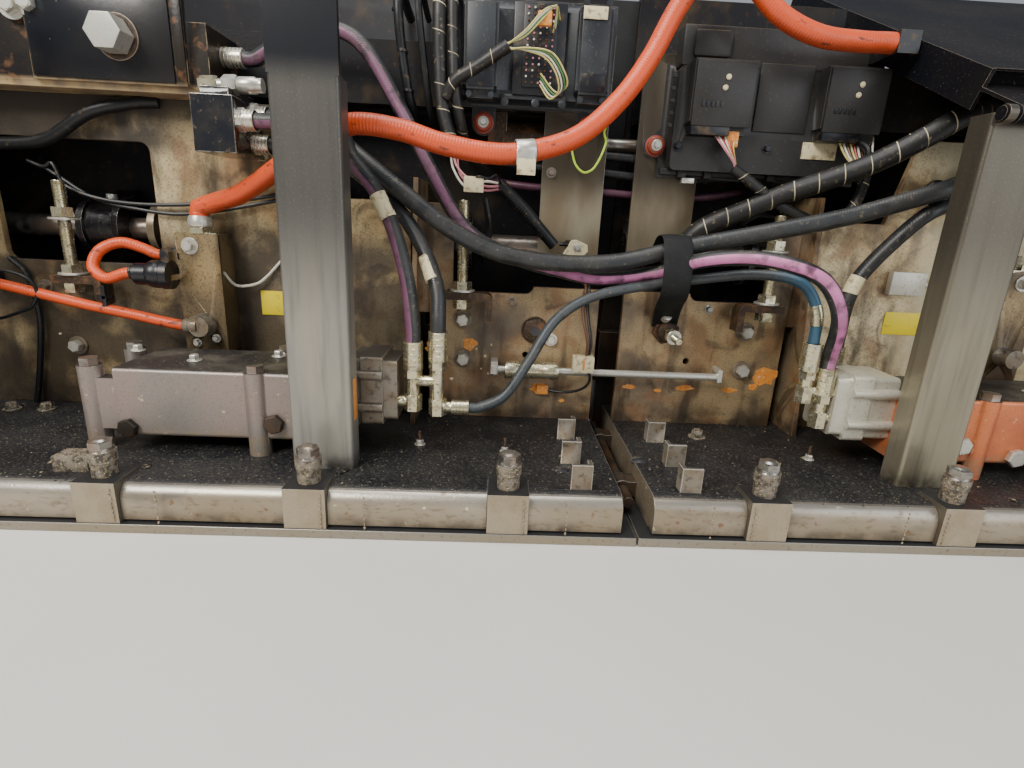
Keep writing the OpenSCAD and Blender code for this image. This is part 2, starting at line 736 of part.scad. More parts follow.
// Zinc rod across the joint: a sleeve on the left half, the rod on the right one
module crown_sleeve() {
  color("silver") translate([0, -mid_y, 0]) {
    difference() {
      union() {
        bar_x(-172, -84, gauge_y, gauge_z, gauge_r);
        bar_x(-192, -170, gauge_y, gauge_z, gauge_rod_r);
        block([-196, gauge_y - 8, gauge_z - 8], [-184, wall_y, gauge_z + 14]);
      }
      bar_x(-98, -83, gauge_y, gauge_z, gauge_r - 2);
    }
  }
}

module crown_rod() {
  color("silver") translate([0, -mid_y, 0]) {
    bar_x(-90, 190, gauge_y, gauge_z, gauge_rod_r);
    block([184, gauge_y - 8, gauge_z - 8], [192, wall_y, gauge_z + 14]);
  }
}

// Control unit on a flat bar, with its plugs in front
module control(side, size, plugs, flat, lugs) {
  top = frame_h + size[3];
  color("dimgray") on_side(side) {
    block([size[0], unit_y + unit_d - unit_plate, top - size[2]], [size[1], unit_y + unit_d, top]);
    along_y(unit_y, unit_y + unit_d)
      round_rect([size[0] + 12, top - size[2] + 10], [size[1] - 12, top - 8], 8);
    for (p = plugs) {
      block([p[0], unit_y - plug_d, top - p[2] - p[3] + 16], [p[0] + p[1], unit_y + 1, top - p[2]]);
      block([p[0] + 5, unit_y - plug_d + 6, top - p[2] - p[3]], [p[0] + p[1] - 5, unit_y + 1, top - p[2]]);
    }
    for (l = lugs) along_y(unit_y + unit_d - unit_plate, unit_y + unit_d) hull() {
      translate([l[0], frame_h - l[1]]) circle(lug_r);
      translate([max(l[0], size[0] + lug_r + 4), frame_h - l[1] + 20]) circle(lug_r);
    }
    block([flat[0], unit_y + unit_d, flat_low], [flat[1], unit_y + unit_d + unit_plate, frame_h + flat[2]]);
    block([size[0] + 60, unit_y + unit_d - 1, frame_h - 60], [size[1] - 60, front_y - box_d, frame_h - 30]);
    // Gland for the conduit on top of the right unit
    if (side > 0) {
      block([350, 236, frame_h - 8], [size[1], unit_y + 16, frame_h + 21]);
      block([352, unit_y + 2, top - 9], [size[1] - 2, unit_y + unit_d - 4, frame_h]);
    }
  }
}

module terminal_box(side) {
  color("dimgray") on_side(side) {
    block([term_x, term_y + lid_t, term_z], [term_x + term_w, wall_y, term_z + term_h]);
    along_y(term_y, term_y + lid_t + 1)
      round_rect([term_x - 2, term_z - 2], [term_x + term_w + 2, term_z + term_h + 2], 5);
    translate([640, gland_y, term_z + term_h - 1]) {
      cylinder(h = gland_h + 1, r = gland_r - 2);
      cylinder(h = 12, r = gland_r, $fn = 6);
    }
    // Socket for the plug on the box's outer side, and the cable's gland in front
    bar_x(term_x + term_w - 1, term_x + term_w + 14, 268, 292, 14);
    bar_y_dir(640, 216, term_y - 26, term_y + 1, 15);
    if (side < 0) {
      bar_x(640, 655, 234, 216, 10);
      bar_x(term_x + term_w + 11, 696, 264, 318, 11);
      bar_x(term_x + term_w + 5, 722, 228, 292, 16);
      block([term_x + term_w, 226, 284], [term_x + term_w + 12, 272, 326]);
      block([975, 240, 258], [990, wall_y, 278]);
    }
  }
}

module adjusters(side) {
  color("goldenrod") on_side(side) for (x = adjust_xs) {
    translate([x, adjust_y, adjust_z - 22]) cylinder(h = 165, r = 8);
    for (z = [adjust_z - 20, adjust_z + 8, adjust_z + 92])
      translate([x, adjust_y, z]) cylinder(h = 14, r = 15, $fn = 6);
    for (z = [adjust_z + 6, adjust_z + 88]) translate([x, adjust_y, z]) cylinder(h = 3, r = 18);
    // Bent flat bar: along the wall, round the corner and down
    along_y(adjust_y - 14, adjust_y + 14) difference() {
      union() {
        translate([x - 36, adjust_z - 6]) square([60, 12]);
        translate([x - 36, adjust_z - 6]) circle(12);
        translate([x - 48, adjust_z - 38]) square([12, 32]);
      }
      translate([x - 37, adjust_z - 60]) square([20, 54]);
    }
    block([x + 14, adjust_y - 14, adjust_z - 6], [x + 26, wall_y, adjust_z + 6]);
  }
}

// Valve block under the left cross beam, from which three hoses leave
module valve_block() {
  color("black") on_side(-1) {
    block([545, 190, 462], [600, 285, main_h - 8]);
    block([560, 215, main_h - 9], [598, 300, main_h + 6]);
    block([560, beam_y - 14, main_h - 9], [598, beam_y, main_h + 20]);
    for (p = [[250, 515, main_d], [205, 505, hose_d], [250, 480, hose_d]])
      bar_x(522, 546, p[0], p[1], p[2] / 2 + 3);
    bar_x(570, beam_in, 300, 600, hose_d / 2 + 3);
  }
}

// Bulkhead block on the right main wall, where two hoses end
module hose_block() {
  color("black") on_side(1) {
    block([560, 205, 430], [600, wall_y, 500]);
    for (z = [448, 480]) bar_x(540, 561, 222, z, main_d / 2 + 2.5);
  }
}

sole(-1);  // sole_l
sole(1);  // sole_r
base(-1);  // base_l
base(1);  // base_r
clamps(-1);  // clamps_l
clamps(1);  // clamps_r
inner_wall(-1);  // inner_wall_l
inner_wall(1);  // inner_wall_r
main_wall(-1);  // main_wall_l
main_wall(1);  // main_wall_r
front_wall(-1);  // front_wall_l
front_wall(1);  // front_wall_r
end_wall(-1);  // end_wall_l
end_wall(1);  // end_wall_r
beam(-1);  // beam_l
beam(1);  // beam_r
posts(-1);  // posts_l
posts(1);  // posts_r
vib_housing(-1);  // vib_housing_l
vib_housing(1);  // vib_housing_r
vib_motor(-1);  // vib_motor_l
vib_motor(1);  // vib_motor_r
bearings(-1);  // bearings_l
bearings(1);  // bearings_r
shaft(-1);  // shaft_l
shaft(1);  // shaft_r
tamper(-1);  // tamper_l
tamper(1);  // tamper_r
tamper_rod(-1, eccentrics[0]);  // tamper_rod_in_l
tamper_rod(1, eccentrics[0]);  // tamper_rod_in_r
tamper_rod(-1, eccentrics[1]);  // tamper_rod_out_l
tamper_rod(1, eccentrics[1]);  // tamper_rod_out_r
arm_bracket(-1);  // arm_bracket_l
arm_bracket(1);  // arm_bracket_r
crown_barrel();
crown_screw();
crown_hinge(-1);  // crown_hinge_l
crown_hinge(1);  // crown_hinge_r
crown_sleeve();
crown_rod();
control(-1, unit_l, plugs_l, flat_l, lugs_l);  // control_l
control(1, unit_r, plugs_r, flat_r, lugs_r);  // control_r
terminal_box(-1);  // terminal_box_l
terminal_box(1);  // terminal_box_r
adjusters(-1);  // adjusters_l
adjusters(1);  // adjusters_r
valve_block();
hose_block();
walkway();
color("orangered") hose(conduit_path, conduit_d, 12);  // conduit
color("darkslategray") hose(main_path, main_d);  // hose_main
color("palevioletred") hose(long_path, hose_d);  // hose_long
color("palevioletred") hose(short_path, hose_d);  // hose_short
color("darkslategray") hose(return_path, hose_d);  // hose_return
color("slategray") hose(cross_path, cross_d);  // hose_cross
color("darkslategray") hose(drain_path, hose_d);  // hose_drain
color("orangered") hose(heat_path, heat_d);  // heat_cable
color("orangered") hose(loop_path, heat_d);  // heat_loop
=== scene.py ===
"""Basic screed of an asphalt paver, seen from behind with its rear covers off.

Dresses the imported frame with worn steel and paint, hoses, looms, fasteners and small parts.
Modelling numbers are millimetres counted as on the screed: X from the crown joint, Y from the
rear edge of the sole plates, Z from the road.
"""
import json
import math
import random

import bmesh
import bpy
from mathutils import Matrix, Vector


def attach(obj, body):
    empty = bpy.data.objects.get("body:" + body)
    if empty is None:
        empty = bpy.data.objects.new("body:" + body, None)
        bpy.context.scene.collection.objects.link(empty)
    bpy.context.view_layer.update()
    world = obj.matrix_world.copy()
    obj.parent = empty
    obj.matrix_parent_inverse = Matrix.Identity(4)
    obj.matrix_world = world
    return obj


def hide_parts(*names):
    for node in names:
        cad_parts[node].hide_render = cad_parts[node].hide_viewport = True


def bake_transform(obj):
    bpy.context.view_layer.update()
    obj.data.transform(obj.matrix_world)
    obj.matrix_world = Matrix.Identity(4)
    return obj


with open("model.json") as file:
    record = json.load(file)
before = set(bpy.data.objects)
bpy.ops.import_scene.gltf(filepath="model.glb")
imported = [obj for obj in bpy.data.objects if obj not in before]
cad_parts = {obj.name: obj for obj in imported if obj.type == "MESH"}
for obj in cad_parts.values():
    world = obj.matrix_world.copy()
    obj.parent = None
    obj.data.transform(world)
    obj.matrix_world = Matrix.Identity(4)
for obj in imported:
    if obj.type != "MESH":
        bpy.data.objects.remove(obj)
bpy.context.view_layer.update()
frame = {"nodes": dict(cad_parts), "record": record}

bl_info = {
    "name": "Paving screed dresser",
    "version": (1, 0, 0),
    "blender": (4, 5, 0),
    "location": "3D View > Sidebar > Screed",
    "description": "Adds the finishes, hoses, looms and small parts of a paving screed",
    "category": "Object",
}

MM = 0.001
# The screed's rear edge lies this far behind the middle of the frame, in metres
REAR_EDGE = -0.350
# The two halves, and the side of the crown joint that each lies on
HALVES = {"left_half": -1, "right_half": 1}
# Ways that parts face: towards the camera, and up
REAR, UP = (0, -1, 0), (0, 0, 1)


def hex_rgb(code):
    """Linear colour of an sRGB hex value."""
    parts = [int(code[i:i + 2], 16) / 255 for i in (1, 3, 5)]
    return tuple(p / 12.92 if p <= 0.04045 else ((p + 0.055) / 1.055) ** 2.4 for p in parts)


def swatch(label, code, note):
    """A colour that the user can change in the sidebar."""
    return bpy.props.FloatVectorProperty(
        name=label, description=note, default=hex_rgb(code), size=3, min=0.0, max=1.0,
        subtype="COLOR")


def length(label, value, note):
    """A length in metres that the user can change in the sidebar."""
    return bpy.props.FloatProperty(
        name=label, description=note, default=value, min=0.0, precision=4, unit="LENGTH")


class ScreedColours(bpy.types.PropertyGroup):
    """Colours of the screed's finishes"""
    flange: swatch("Worn flange", "#A89E8D", "Bare steel of the base frame's rear flange")
    grime: swatch("Grime", "#1D1D1E", "Bitumen and oil film on everything that lies flat")
    ash: swatch("Ash", "#4B463E", "Grey-brown dirt over the grime")
    dust: swatch("Dust", "#8E7E62", "Dry stone dust")
    ochre: swatch("Wall tan", "#B39B70", "Primer of the main walls, heat-tanned")
    speckle: swatch("Wall speckle", "#6B5636", "Darker mottling of the walls")
    umber: swatch("Wall brown", "#97836A", "Inner walls beside the crown joint")
    rust: swatch("Rust", "#7C5230", "Rust on edges, washers and welds")
    oil: swatch("Oil streaks", "#2A241D", "Oil that ran down the walls")
    soot: swatch("Soot", "#403F3C", "Film on the left posts and on the front walls")
    post_grey: swatch("Left post", "#8C8A82", "Satin paint of the left posts")
    post_olive: swatch("Right post", "#8A8470", "Yellowed paint of the right posts")
    housing_grey: swatch("Left housing", "#857F79", "Vibration housing of the left half")
    housing_red: swatch("Right housing", "#D07A4C", "Vibration housing of the right half")
    block: swatch("Clamp blocks", "#A2957F", "Blocks of the sole clamps")
    bar: swatch("Flat bars", "#9A917C", "Bars that carry the control units")
    sole: swatch("Sole plate", "#958E80", "Ground edge of the wear plates")
    zinc: swatch("Zinc", "#CDCBC0", "Plated bolts, rods and washers")
    passivated: swatch("Passivated zinc", "#D3CAA4", "Pale yellow plating of the hose fittings")
    cast: swatch("Cast iron", "#857D70", "Gear motor of the left half")
    alloy: swatch("Aluminium", "#C9C6B6", "Gear motor of the right half")
    steel: swatch("Bright steel", "#9A9992", "Shafts and the eccentrics")
    gloss_black: swatch("Gloss black", "#101218", "Enamel of beams, end walls and platform")
    plastic: swatch("Control housings", "#33373B", "Moulded housings of the control units")
    rubber: swatch("Hose rubber", "#26292B", "Outer cover of the hydraulic hoses")
    hose_blue: swatch("Blue hose", "#2F5870", "Cover of the thin hose across the joint")
    stripe: swatch("Hose stripe", "#C272A2", "Lay line of the pressure hoses")
    orange: swatch("Orange conduit", "#DC5326", "Cover of the heating conduits")
    cream: swatch("Cream tags", "#D9CDA6", "Tags, plugs and hose labels")
    sign: swatch("Yellow plates", "#E9D31E", "Blank plates on the main walls")
    chip: swatch("Paint chips", "#E0923E", "Old yellow and orange paint left in patches")
    tape: swatch("Loom tape", "#1A1A1B", "Cloth tape round the wire looms")


class ScreedSizes(bpy.types.PropertyGroup):
    """Sizes of the screed's small parts"""
    edge: length("Broken edge", 0.0010, "Width of the worn edge on sheets and bars")
    casting: length("Casting edge", 0.0028, "Width of the rounded edge on castings and blocks")
    grit: length("Grit", 0.0016, "Mean size of the asphalt grains on the base sheets")


def tint(name):
    """A colour of the palette, or a hex value, with full opacity."""
    if name.startswith("#"):
        return (*hex_rgb(name), 1.0)
    return (*getattr(bpy.context.scene.screed_colours, name), 1.0)


def size(name):
    """A size of the palette in millimetres."""
    return getattr(bpy.context.scene.screed_sizes, name) / MM


def add(tree, kind, settings=None, inputs=None):
    """Adds a shader node with its settings; each input is a constant or a socket to link."""
    node = tree.nodes.new("ShaderNode" + kind)
    for name, value in (settings or {}).items():
        setattr(node, name, value)
    for name, value in (inputs or {}).items():
        if isinstance(value, bpy.types.NodeSocket):
            tree.links.new(value, node.inputs[name])
        else:
            node.inputs[name].default_value = value
    return node


class Finish:
    """A surface built up as it came about: metal or paint first, then dirt, wear and relief."""

    def __init__(self, name, colour, roughness, metallic=0.0):
        self.material = bpy.data.materials.new(name)
        self.material.use_nodes = True
        self.tree = self.material.node_tree
        self.shader = self.tree.nodes["Principled BSDF"]
        self.spot = add(self.tree, "TexCoord")
        self.state = {"Base Color": tint(colour), "Roughness": roughness, "Metallic": metallic}
        self.normal = None
        self.material.diffuse_color = tint(colour)

    def clouds(self, width, stretch=(1, 1, 1), detail=4.0, shift=0.0, distortion=0.0):
        """Noise whose lumps are about width millimetres across."""
        moved = add(self.tree, "Mapping", None, {
            "Vector": self.spot.outputs["Object"],
            "Location": (shift, shift * 0.7, shift * 1.3), "Scale": stretch})
        return add(self.tree, "TexNoise", None, {
            "Vector": moved.outputs[0], "Scale": 1 / (width * MM), "Detail": detail,
            "Distortion": distortion}).outputs[0]

    def range(self, value, low, high):
        """0 below low and 1 above high, or the other way round where high is the smaller."""
        return add(self.tree, "MapRange", {"interpolation_type": "SMOOTHSTEP"}, {
            "Value": value, "From Min": low, "From Max": high}).outputs[0]

    def patches(self, width, low=0.36, high=0.66, share=1.0, **options):
        """Mask of irregular patches about width millimetres across, as strong as its share."""
        mask = self.range(self.clouds(width, **options), low, high)
        return mask if share == 1.0 else self.both(mask, share)

    def grains(self, width, low, high):
        """Mask of separate grains on a grid of about width millimetres."""
        cells = add(self.tree, "TexVoronoi", None, {
            "Vector": self.spot.outputs["Object"], "Scale": 1 / (width * MM)})
        return self.range(cells.outputs["Distance"], high, low)

    def facing(self, direction, low, high, rounded=False):
        """Mask of the faces that look one way; on a rounded form it follows the smooth normals."""
        way = self.spot.outputs["Normal"] if rounded else add(self.tree, "Attribute", {
            "attribute_name": "outlook"}).outputs["Vector"]
        lean = add(self.tree, "VectorMath", {"operation": "DOT_PRODUCT"}, {0: way, 1: direction})
        return self.range(lean.outputs["Value"], low, high)

    def along(self, axis, low, high):
        """Mask that rises between two distances on the screed's X, Y or Z."""
        parts = add(self.tree, "SeparateXYZ", None, {0: self.spot.outputs["Object"]})
        rear = REAR_EDGE if axis == "Y" else 0.0
        return self.range(parts.outputs[axis], low * MM + rear, high * MM + rear)

    def worn(self):
        """Mask of the broken edges."""
        return add(self.tree, "Attribute", {"attribute_name": "wear"}).outputs["Fac"]

    def math(self, operation, *values, clamp=False):
        """The result of a sum with up to three values or sockets."""
        return add(self.tree, "Math", {"operation": operation, "use_clamp": clamp},
                   dict(enumerate(values))).outputs[0]

    def both(self, first, *others):
        """Masks, or masks and shares, taken together."""
        for other in others:
            first = self.math("MULTIPLY", first, other, clamp=True)
        return first

    def uv(self):
        """A tube's own map: the share of the turn round it, and the run along it in millimetres."""
        return add(self.tree, "SeparateXYZ", None, {0: self.spot.outputs["UV"]}).outputs

    def coat(self, mask, colour=None, roughness=None, metallic=None):
        """Lays another colour, roughness or metal over what is there, where the mask is."""
        coats = (("Base Color", colour and tint(colour), "RGBA", 6, 2),
                 ("Roughness", roughness, "FLOAT", 2, 0), ("Metallic", metallic, "FLOAT", 2, 0))
        # A Mix node keeps the sockets of every type: under is the first of this type's pair
        for name, value, kind, under, result in coats:
            if value is not None and value != self.state[name]:
                mix = add(self.tree, "Mix", {"data_type": kind}, {
                    0: mask, under: self.state[name], under + 1: value})
                self.state[name] = mix.outputs[result]

    def relief(self, height, depth):
        """Raises the surface by depth millimetres where height is 1."""
        bump = add(self.tree, "Bump", None,
                   {"Height": height, "Distance": depth * MM, "Strength": 1.0})
        if self.normal:
            self.tree.links.new(self.normal, bump.inputs["Normal"])
        self.normal = bump.outputs[0]

    def done(self, **shader):
        """Connects what has been built up, and sets the shader's own constants."""
        for name, value in self.state.items():
            if isinstance(value, bpy.types.NodeSocket):
                self.tree.links.new(value, self.shader.inputs[name])
            else:
                self.shader.inputs[name].default_value = value
        for name, value in shader.items():
            self.shader.inputs[name.replace("_", " ")].default_value = value
        if self.normal:
            self.tree.links.new(self.normal, self.shader.inputs["Normal"])
        return self.material


def base_sheet():
    """Hot-rolled sheet, rubbed satin at the rear flange and matt with bitumen and grains on top; a
    painted highlight runs along the bend.
    """
    f = Finish("hot_rolled_sheet", "flange", 0.36, 0.6)
    f.coat(f.patches(110, share=0.6, stretch=(0.5, 1, 1)), "dust", 0.48)
    f.coat(f.patches(60, 0.50, 0.68, 0.55, stretch=(0.4, 1, 1), shift=11.0), "ash", 0.4, 0.5)
    f.coat(f.patches(5, 0.52, 0.74, 0.5, stretch=(0.4, 1, 1), shift=2.0), "speckle", 0.5)
    f.coat(f.patches(16, 0.64, 0.72, 0.8, shift=6.0), "rust", 0.7, 0.1)
    f.coat(f.patches(11, 0.68, 0.73, 0.9, shift=8.0), "cream", 0.7, 0.1)
    f.coat(f.both(f.along("Z", 40, 12), 0.35), "speckle", 0.45, 0.4)
    f.coat(f.both(f.along("Z", 34, 14), f.patches(30, 0.40, 0.66, 0.6, shift=5.0)), "oil", 0.5, 0.3)
    # Painted highlight: the bend between flange and top, whose faces look up and to the rear, is
    # made bright steel
    f.coat(f.both(f.facing((0, -0.7, 0.7), 0.90, 0.99), 0.55), "steel", 0.26, 0.8)
    top = f.facing(UP, 0.78, 0.97)
    f.coat(top, "grime", 0.55, 0.0)
    f.coat(f.both(top, f.patches(60, share=0.7, shift=9.0)), "gloss_black", 0.38)
    f.coat(f.both(top, f.patches(3.2, 0.52, 0.70, 0.6, detail=2.0)), "ash", 0.6)
    f.coat(f.both(top, f.grains(7, 0.06, 0.16)), "dust", 0.8)
    f.coat(f.both(f.worn(), 0.5), "steel", 0.3, 0.8)
    f.relief(f.clouds(2.5, detail=6.0), 0.15)
    f.relief(f.both(top, f.clouds(4.5, detail=4.0)), 1.5)
    return f.done()


def clamp_block():
    """Flame-cut block, dusty and dull, with the grain of scale, and painted shade on its sides."""
    f = Finish("flame_cut_block", "block", 0.55, 0.35)
    f.coat(f.patches(26, share=0.5), "dust", 0.62)
    f.coat(f.patches(3, 0.55, 0.72, 0.4, shift=3.0), "speckle", 0.6)
    f.coat(f.facing(UP, 0.7, 0.95), "grime", 0.55, 0.0)
    f.coat(f.both(f.worn(), 0.4), "steel", 0.4, 0.6)
    # Painted shade: the faces that look along X are darkened with the grime colour
    for side in HALVES.values():
        f.coat(f.both(f.facing((side, 0, 0), 0.6, 0.9), 0.7), "grime", 0.5)
    f.relief(f.clouds(2.2, detail=6.0), 0.25)
    return f.done()


def crusted_sleeve():
    """Turned spacer under a crust of dried asphalt and stone dust."""
    f = Finish("crusted_steel_sleeve", "cast", 0.6, 0.35)
    f.coat(f.patches(9, 0.40, 0.62, 0.8), "oil", 0.5, 0.1)
    f.coat(f.patches(3.2, 0.50, 0.62, 0.8, shift=2.0), "dust", 0.85, 0.0)
    f.coat(f.grains(4.5, 0.08, 0.20), "cream", 0.8, 0.0)
    f.relief(f.clouds(2.6, detail=5.0), 1.3)
    return f.done()


def wall_finish(name, paint, stain, glow, mark):
    """Heat-tanned primer: a fine pitted grain that glints, stained by oil that ran down, and
    darkened by painted shadow under the beams.
    """
    f = Finish(name, paint, 0.40, 0.35)
    f.coat(f.patches(140, share=0.8, shift=mark), glow, 0.34)
    f.coat(f.patches(48, 0.46, 0.66, 0.6, shift=mark + 3), "rust", 0.55, 0.2)
    f.coat(f.patches(2.6, 0.46, 0.70, 0.55, detail=3.0, shift=mark), "speckle", 0.55)
    f.coat(f.patches(80, 0.54, 0.66, 0.55, distortion=1.5, shift=mark + 9), "oil", 0.4)
    f.coat(f.patches(120, 0.50, 0.68, 0.7, shift=mark + 5), stain, 0.45, 0.1)
    f.coat(f.patches(30, 0.50, 0.70, 0.7, stretch=(1, 1, 0.2), shift=mark + 7), "oil", 0.32)
    f.coat(f.both(f.along("Z", 130, 64), f.patches(40, 0.30, 0.60, 0.8, shift=mark + 1)),
           "oil", 0.45)
    # Painted shadow: the walls are darkened with the oil colour near their tops, under the beams
    f.coat(f.both(f.along("Z", 450, 560), 0.7), "oil", 0.4)
    f.coat(f.both(f.worn(), f.patches(8, 0.30, 0.55)), "rust", 0.5, 0.3)
    f.coat(f.facing(UP, 0.7, 0.95), "grime", 0.6, 0.0)
    f.relief(f.clouds(2.8, detail=4.0), 0.35)
    return f


def inner_wall_paint():
    """Walls beside the crown joint: brown from heat and oil."""
    return wall_finish("primed_steel_brown", "umber", "ash", "ochre", 1.0).done()


def main_wall_paint():
    """Main walls: golden tan with a fine dark mottle; painted shadow darkens them under the beams,
    painted light brightens the right wall's outer end, and they are darker low down.
    """
    f = wall_finish("primed_steel_tan", "ochre", "speckle", "cream", 12.0)
    # Painted light: cream patches lighten the wall beyond X 470 to 540, at the right wall's outer
    # end
    f.coat(f.both(f.along("X", 470, 540), f.patches(60, 0.20, 0.50, 0.6, shift=4.0)),
           "cream", 0.5, 0.0)
    # Painted shadow under the beam at the left end, laid with the oil colour
    beam_shadow = f.both(f.along("X", -650, -720), f.along("Z", 450, 480))
    f.coat(f.both(beam_shadow, f.patches(60, 0.20, 0.45, 0.9)), "oil", 0.7, 0.0)
    # Painted shadow: a dark band with the oil colour high on the wall, under the beam further in
    f.coat(f.both(f.along("X", -300, -420), f.along("Z", 505, 540), 0.85), "oil", 0.7, 0.0)
    shaded = f.both(f.along("X", -260, -310), f.along("Z", 375, 325))
    f.coat(f.both(shaded, f.patches(60, 0.22, 0.52, 0.85, shift=7.0)), "oil", 0.5, 0.0)
    return f.done()


def post_paint(name, paint, shade, metal):
    """Sprayed paint on drawn tube: satin, streaked downwards, rubbed bright along the corners."""
    f = Finish(name, paint, 0.34, metal)
    f.coat(f.patches(60, share=0.5, stretch=(1, 1, 0.25)), "flange", 0.40)
    f.coat(f.patches(10, 0.45, 0.75, 0.4, stretch=(1, 1, 0.06), shift=4.0), shade, 0.42)
    f.coat(f.both(f.along("Z", 240, 420), 0.85), shade, 0.38)
    f.coat(f.patches(2.5, 0.56, 0.72, 0.3, shift=6.0), "dust", 0.55)
    f.coat(f.along("Z", 520, 560), "gloss_black", 0.26, 0.0)
    f.coat(f.both(f.along("Z", 92, 62), f.patches(20, 0.30, 0.60, 0.8)), "oil", 0.55)
    f.coat(f.both(f.worn(), f.patches(90, 0.35, 0.50, 0.8, stretch=(1, 1, 0.4))), "dust", 0.3, 0.7)
    f.relief(f.clouds(2.5, stretch=(1, 1, 0.2), detail=5.0), 0.08)
    return f.done()


def left_post_paint():
    """Grey satin paint of the left posts."""
    return post_paint("satin_paint_grey", "post_grey", "soot", 0.35)


def right_post_paint():
    """Olive-yellow satin paint of the right posts."""
    return post_paint("satin_paint_olive", "post_olive", "ash", 0.6)


def housing_paint(name, paint, stain):
    """Welded box in worn paint: stained by heat in the middle, oily and dusty on top."""
    f = Finish(name, paint, 0.36, 0.35)
    f.coat(f.patches(90, share=0.55), stain, 0.42)
    f.coat(f.patches(3, 0.52, 0.72, 0.35, shift=2.0), "speckle", 0.5)
    f.coat(f.patches(12, 0.64, 0.72, 0.6, shift=6.0), "cream", 0.6)
    f.coat(f.both(f.along("Z", 104, 84), f.patches(14, 0.3, 0.6, 0.6)), "dust", 0.6)
    top = f.facing(UP, 0.72, 0.95)
    f.coat(top, "ash", 0.55, 0.0)
    f.coat(f.both(top, f.patches(40, 0.30, 0.60, 0.85)), "grime", 0.5)
    f.coat(f.both(top, f.grains(6, 0.08, 0.18)), "dust", 0.8)
    f.coat(f.both(f.worn(), f.patches(30, 0.3, 0.5, 0.5)), "zinc", 0.35, 0.5)
    f.relief(f.clouds(3, detail=6.0), 0.2)
    return f.done()


def left_housing_paint():
    """Worn grey housing with pinkish heat stains."""
    return housing_paint("worn_paint_grey", "housing_grey", "#97827A")


def right_housing_paint():
    """Orange-red primed housing."""
    return housing_paint("worn_primer_red", "housing_red", "#A8553A")


def sole_steel():
    """Wear plate, ground bright at its edge by the mix, with bitumen in its pits."""
    f = Finish("abrasion_steel_ground", "sole", 0.36, 0.7)
    f.coat(f.patches(60, share=0.5, stretch=(0.3, 1, 1)), "dust", 0.5, 0.4)
    f.coat(f.patches(5, 0.56, 0.72, 0.5), "oil", 0.5, 0.0)
    f.coat(f.facing(UP, 0.7, 0.95), "grime", 0.6, 0.0)
    f.coat(f.both(f.worn(), 0.6), "steel", 0.25, 0.9)
    f.relief(f.clouds(3, stretch=(0.2, 1, 1), detail=5.0), 0.12)
    return f.done()


def tamper_steel():
    """Tamper bars and straps: dark forged steel, polished only where they rub."""
    f = Finish("forged_steel_oily", "oil", 0.42, 0.4)
    f.coat(f.patches(40, share=0.25), "rust", 0.6, 0.2)
    f.coat(f.patches(90, 0.45, 0.66, 0.5, shift=5.0), "ash", 0.5)
    f.coat(f.both(f.worn(), 0.4), "steel", 0.3, 0.8)
    f.relief(f.clouds(3, detail=5.0), 0.3)
    return f.done()


def zinc_plate():
    """Bright zinc plating, dulled by dust, with rust starting at the edges."""
    f = Finish("zinc_plated_steel", "zinc", 0.30, 0.6)
    f.coat(f.patches(5, 0.52, 0.72, 0.35), "dust", 0.5, 0.5)
    f.coat(f.patches(9, 0.62, 0.72, 0.45, shift=4.0), "rust", 0.7, 0.1)
    f.relief(f.clouds(1.6, detail=4.0), 0.08)
    return f.done()


def yellow_zinc():
    """Yellow-passivated zinc of hydraulic fittings: pale gold, oily in the corners."""
    f = Finish("yellow_passivated_zinc", "passivated", 0.25, 0.92)
    f.coat(f.patches(9, share=0.5), "zinc", 0.3)
    f.coat(f.patches(14, 0.50, 0.68, 0.5, shift=7.0), "speckle", 0.4)
    f.coat(f.patches(5, 0.55, 0.70, 0.7, shift=4.0), "oil", 0.45, 0.0)
    f.relief(f.clouds(2, detail=4.0), 0.06)
    return f.done()


def rusty_iron():
    """Iron left bare: brown rust scale under an oily film."""
    f = Finish("rusted_iron", "rust", 0.6, 0.25)
    f.coat(f.patches(24, 0.20, 0.50, 0.9), "oil", 0.5)
    f.coat(f.patches(4, 0.50, 0.68, 0.6, shift=2.0), "speckle", 0.75)
    f.coat(f.both(f.worn(), 0.6), "flange", 0.4, 0.6)
    f.relief(f.clouds(2.2, detail=6.0), 0.4)
    return f.done()


def cast_iron():
    """Grey cast iron as it leaves the sand, filmed with oil."""
    f = Finish("sand_cast_iron", "cast", 0.45, 0.4)
    f.coat(f.patches(30, share=0.6), "speckle", 0.4)
    f.coat(f.patches(9, 0.52, 0.70, 0.6, shift=3.0), "oil", 0.35)
    f.coat(f.facing(UP, 0.75, 0.95), "ash", 0.5, 0.0)
    f.coat(f.both(f.worn(), 0.5), "zinc", 0.35, 0.7)
    f.relief(f.clouds(1.8, detail=5.0), 0.22)
    return f.done()


def cast_alloy():
    """Cast aluminium: pale, softly bright, grey dirt in its grain."""
    f = Finish("cast_aluminium", "alloy", 0.36, 0.4)
    f.coat(f.patches(20, share=0.25), "flange", 0.42)
    f.coat(f.patches(4, 0.57, 0.72, 0.5, shift=3.0), "ash", 0.5, 0.0)
    f.coat(f.both(f.worn(), 0.7), "zinc", 0.25, 0.9)
    f.relief(f.clouds(1.8, detail=5.0), 0.14)
    return f.done()


def oily_black():
    """Black-painted castings wet with oil."""
    f = Finish("black_paint_oily", "gloss_black", 0.2, 0.0)
    f.coat(f.patches(26, share=0.6), "oil", 0.32)
    f.coat(f.patches(6, 0.60, 0.74, 0.2, shift=3.0), "dust", 0.6)
    f.coat(f.both(f.worn(), f.patches(20, 0.40, 0.55)), "steel", 0.3, 0.7)
    f.relief(f.clouds(9, detail=4.0), 0.5)
    return f.done(Coat_Weight=0.5, Coat_Roughness=0.1)


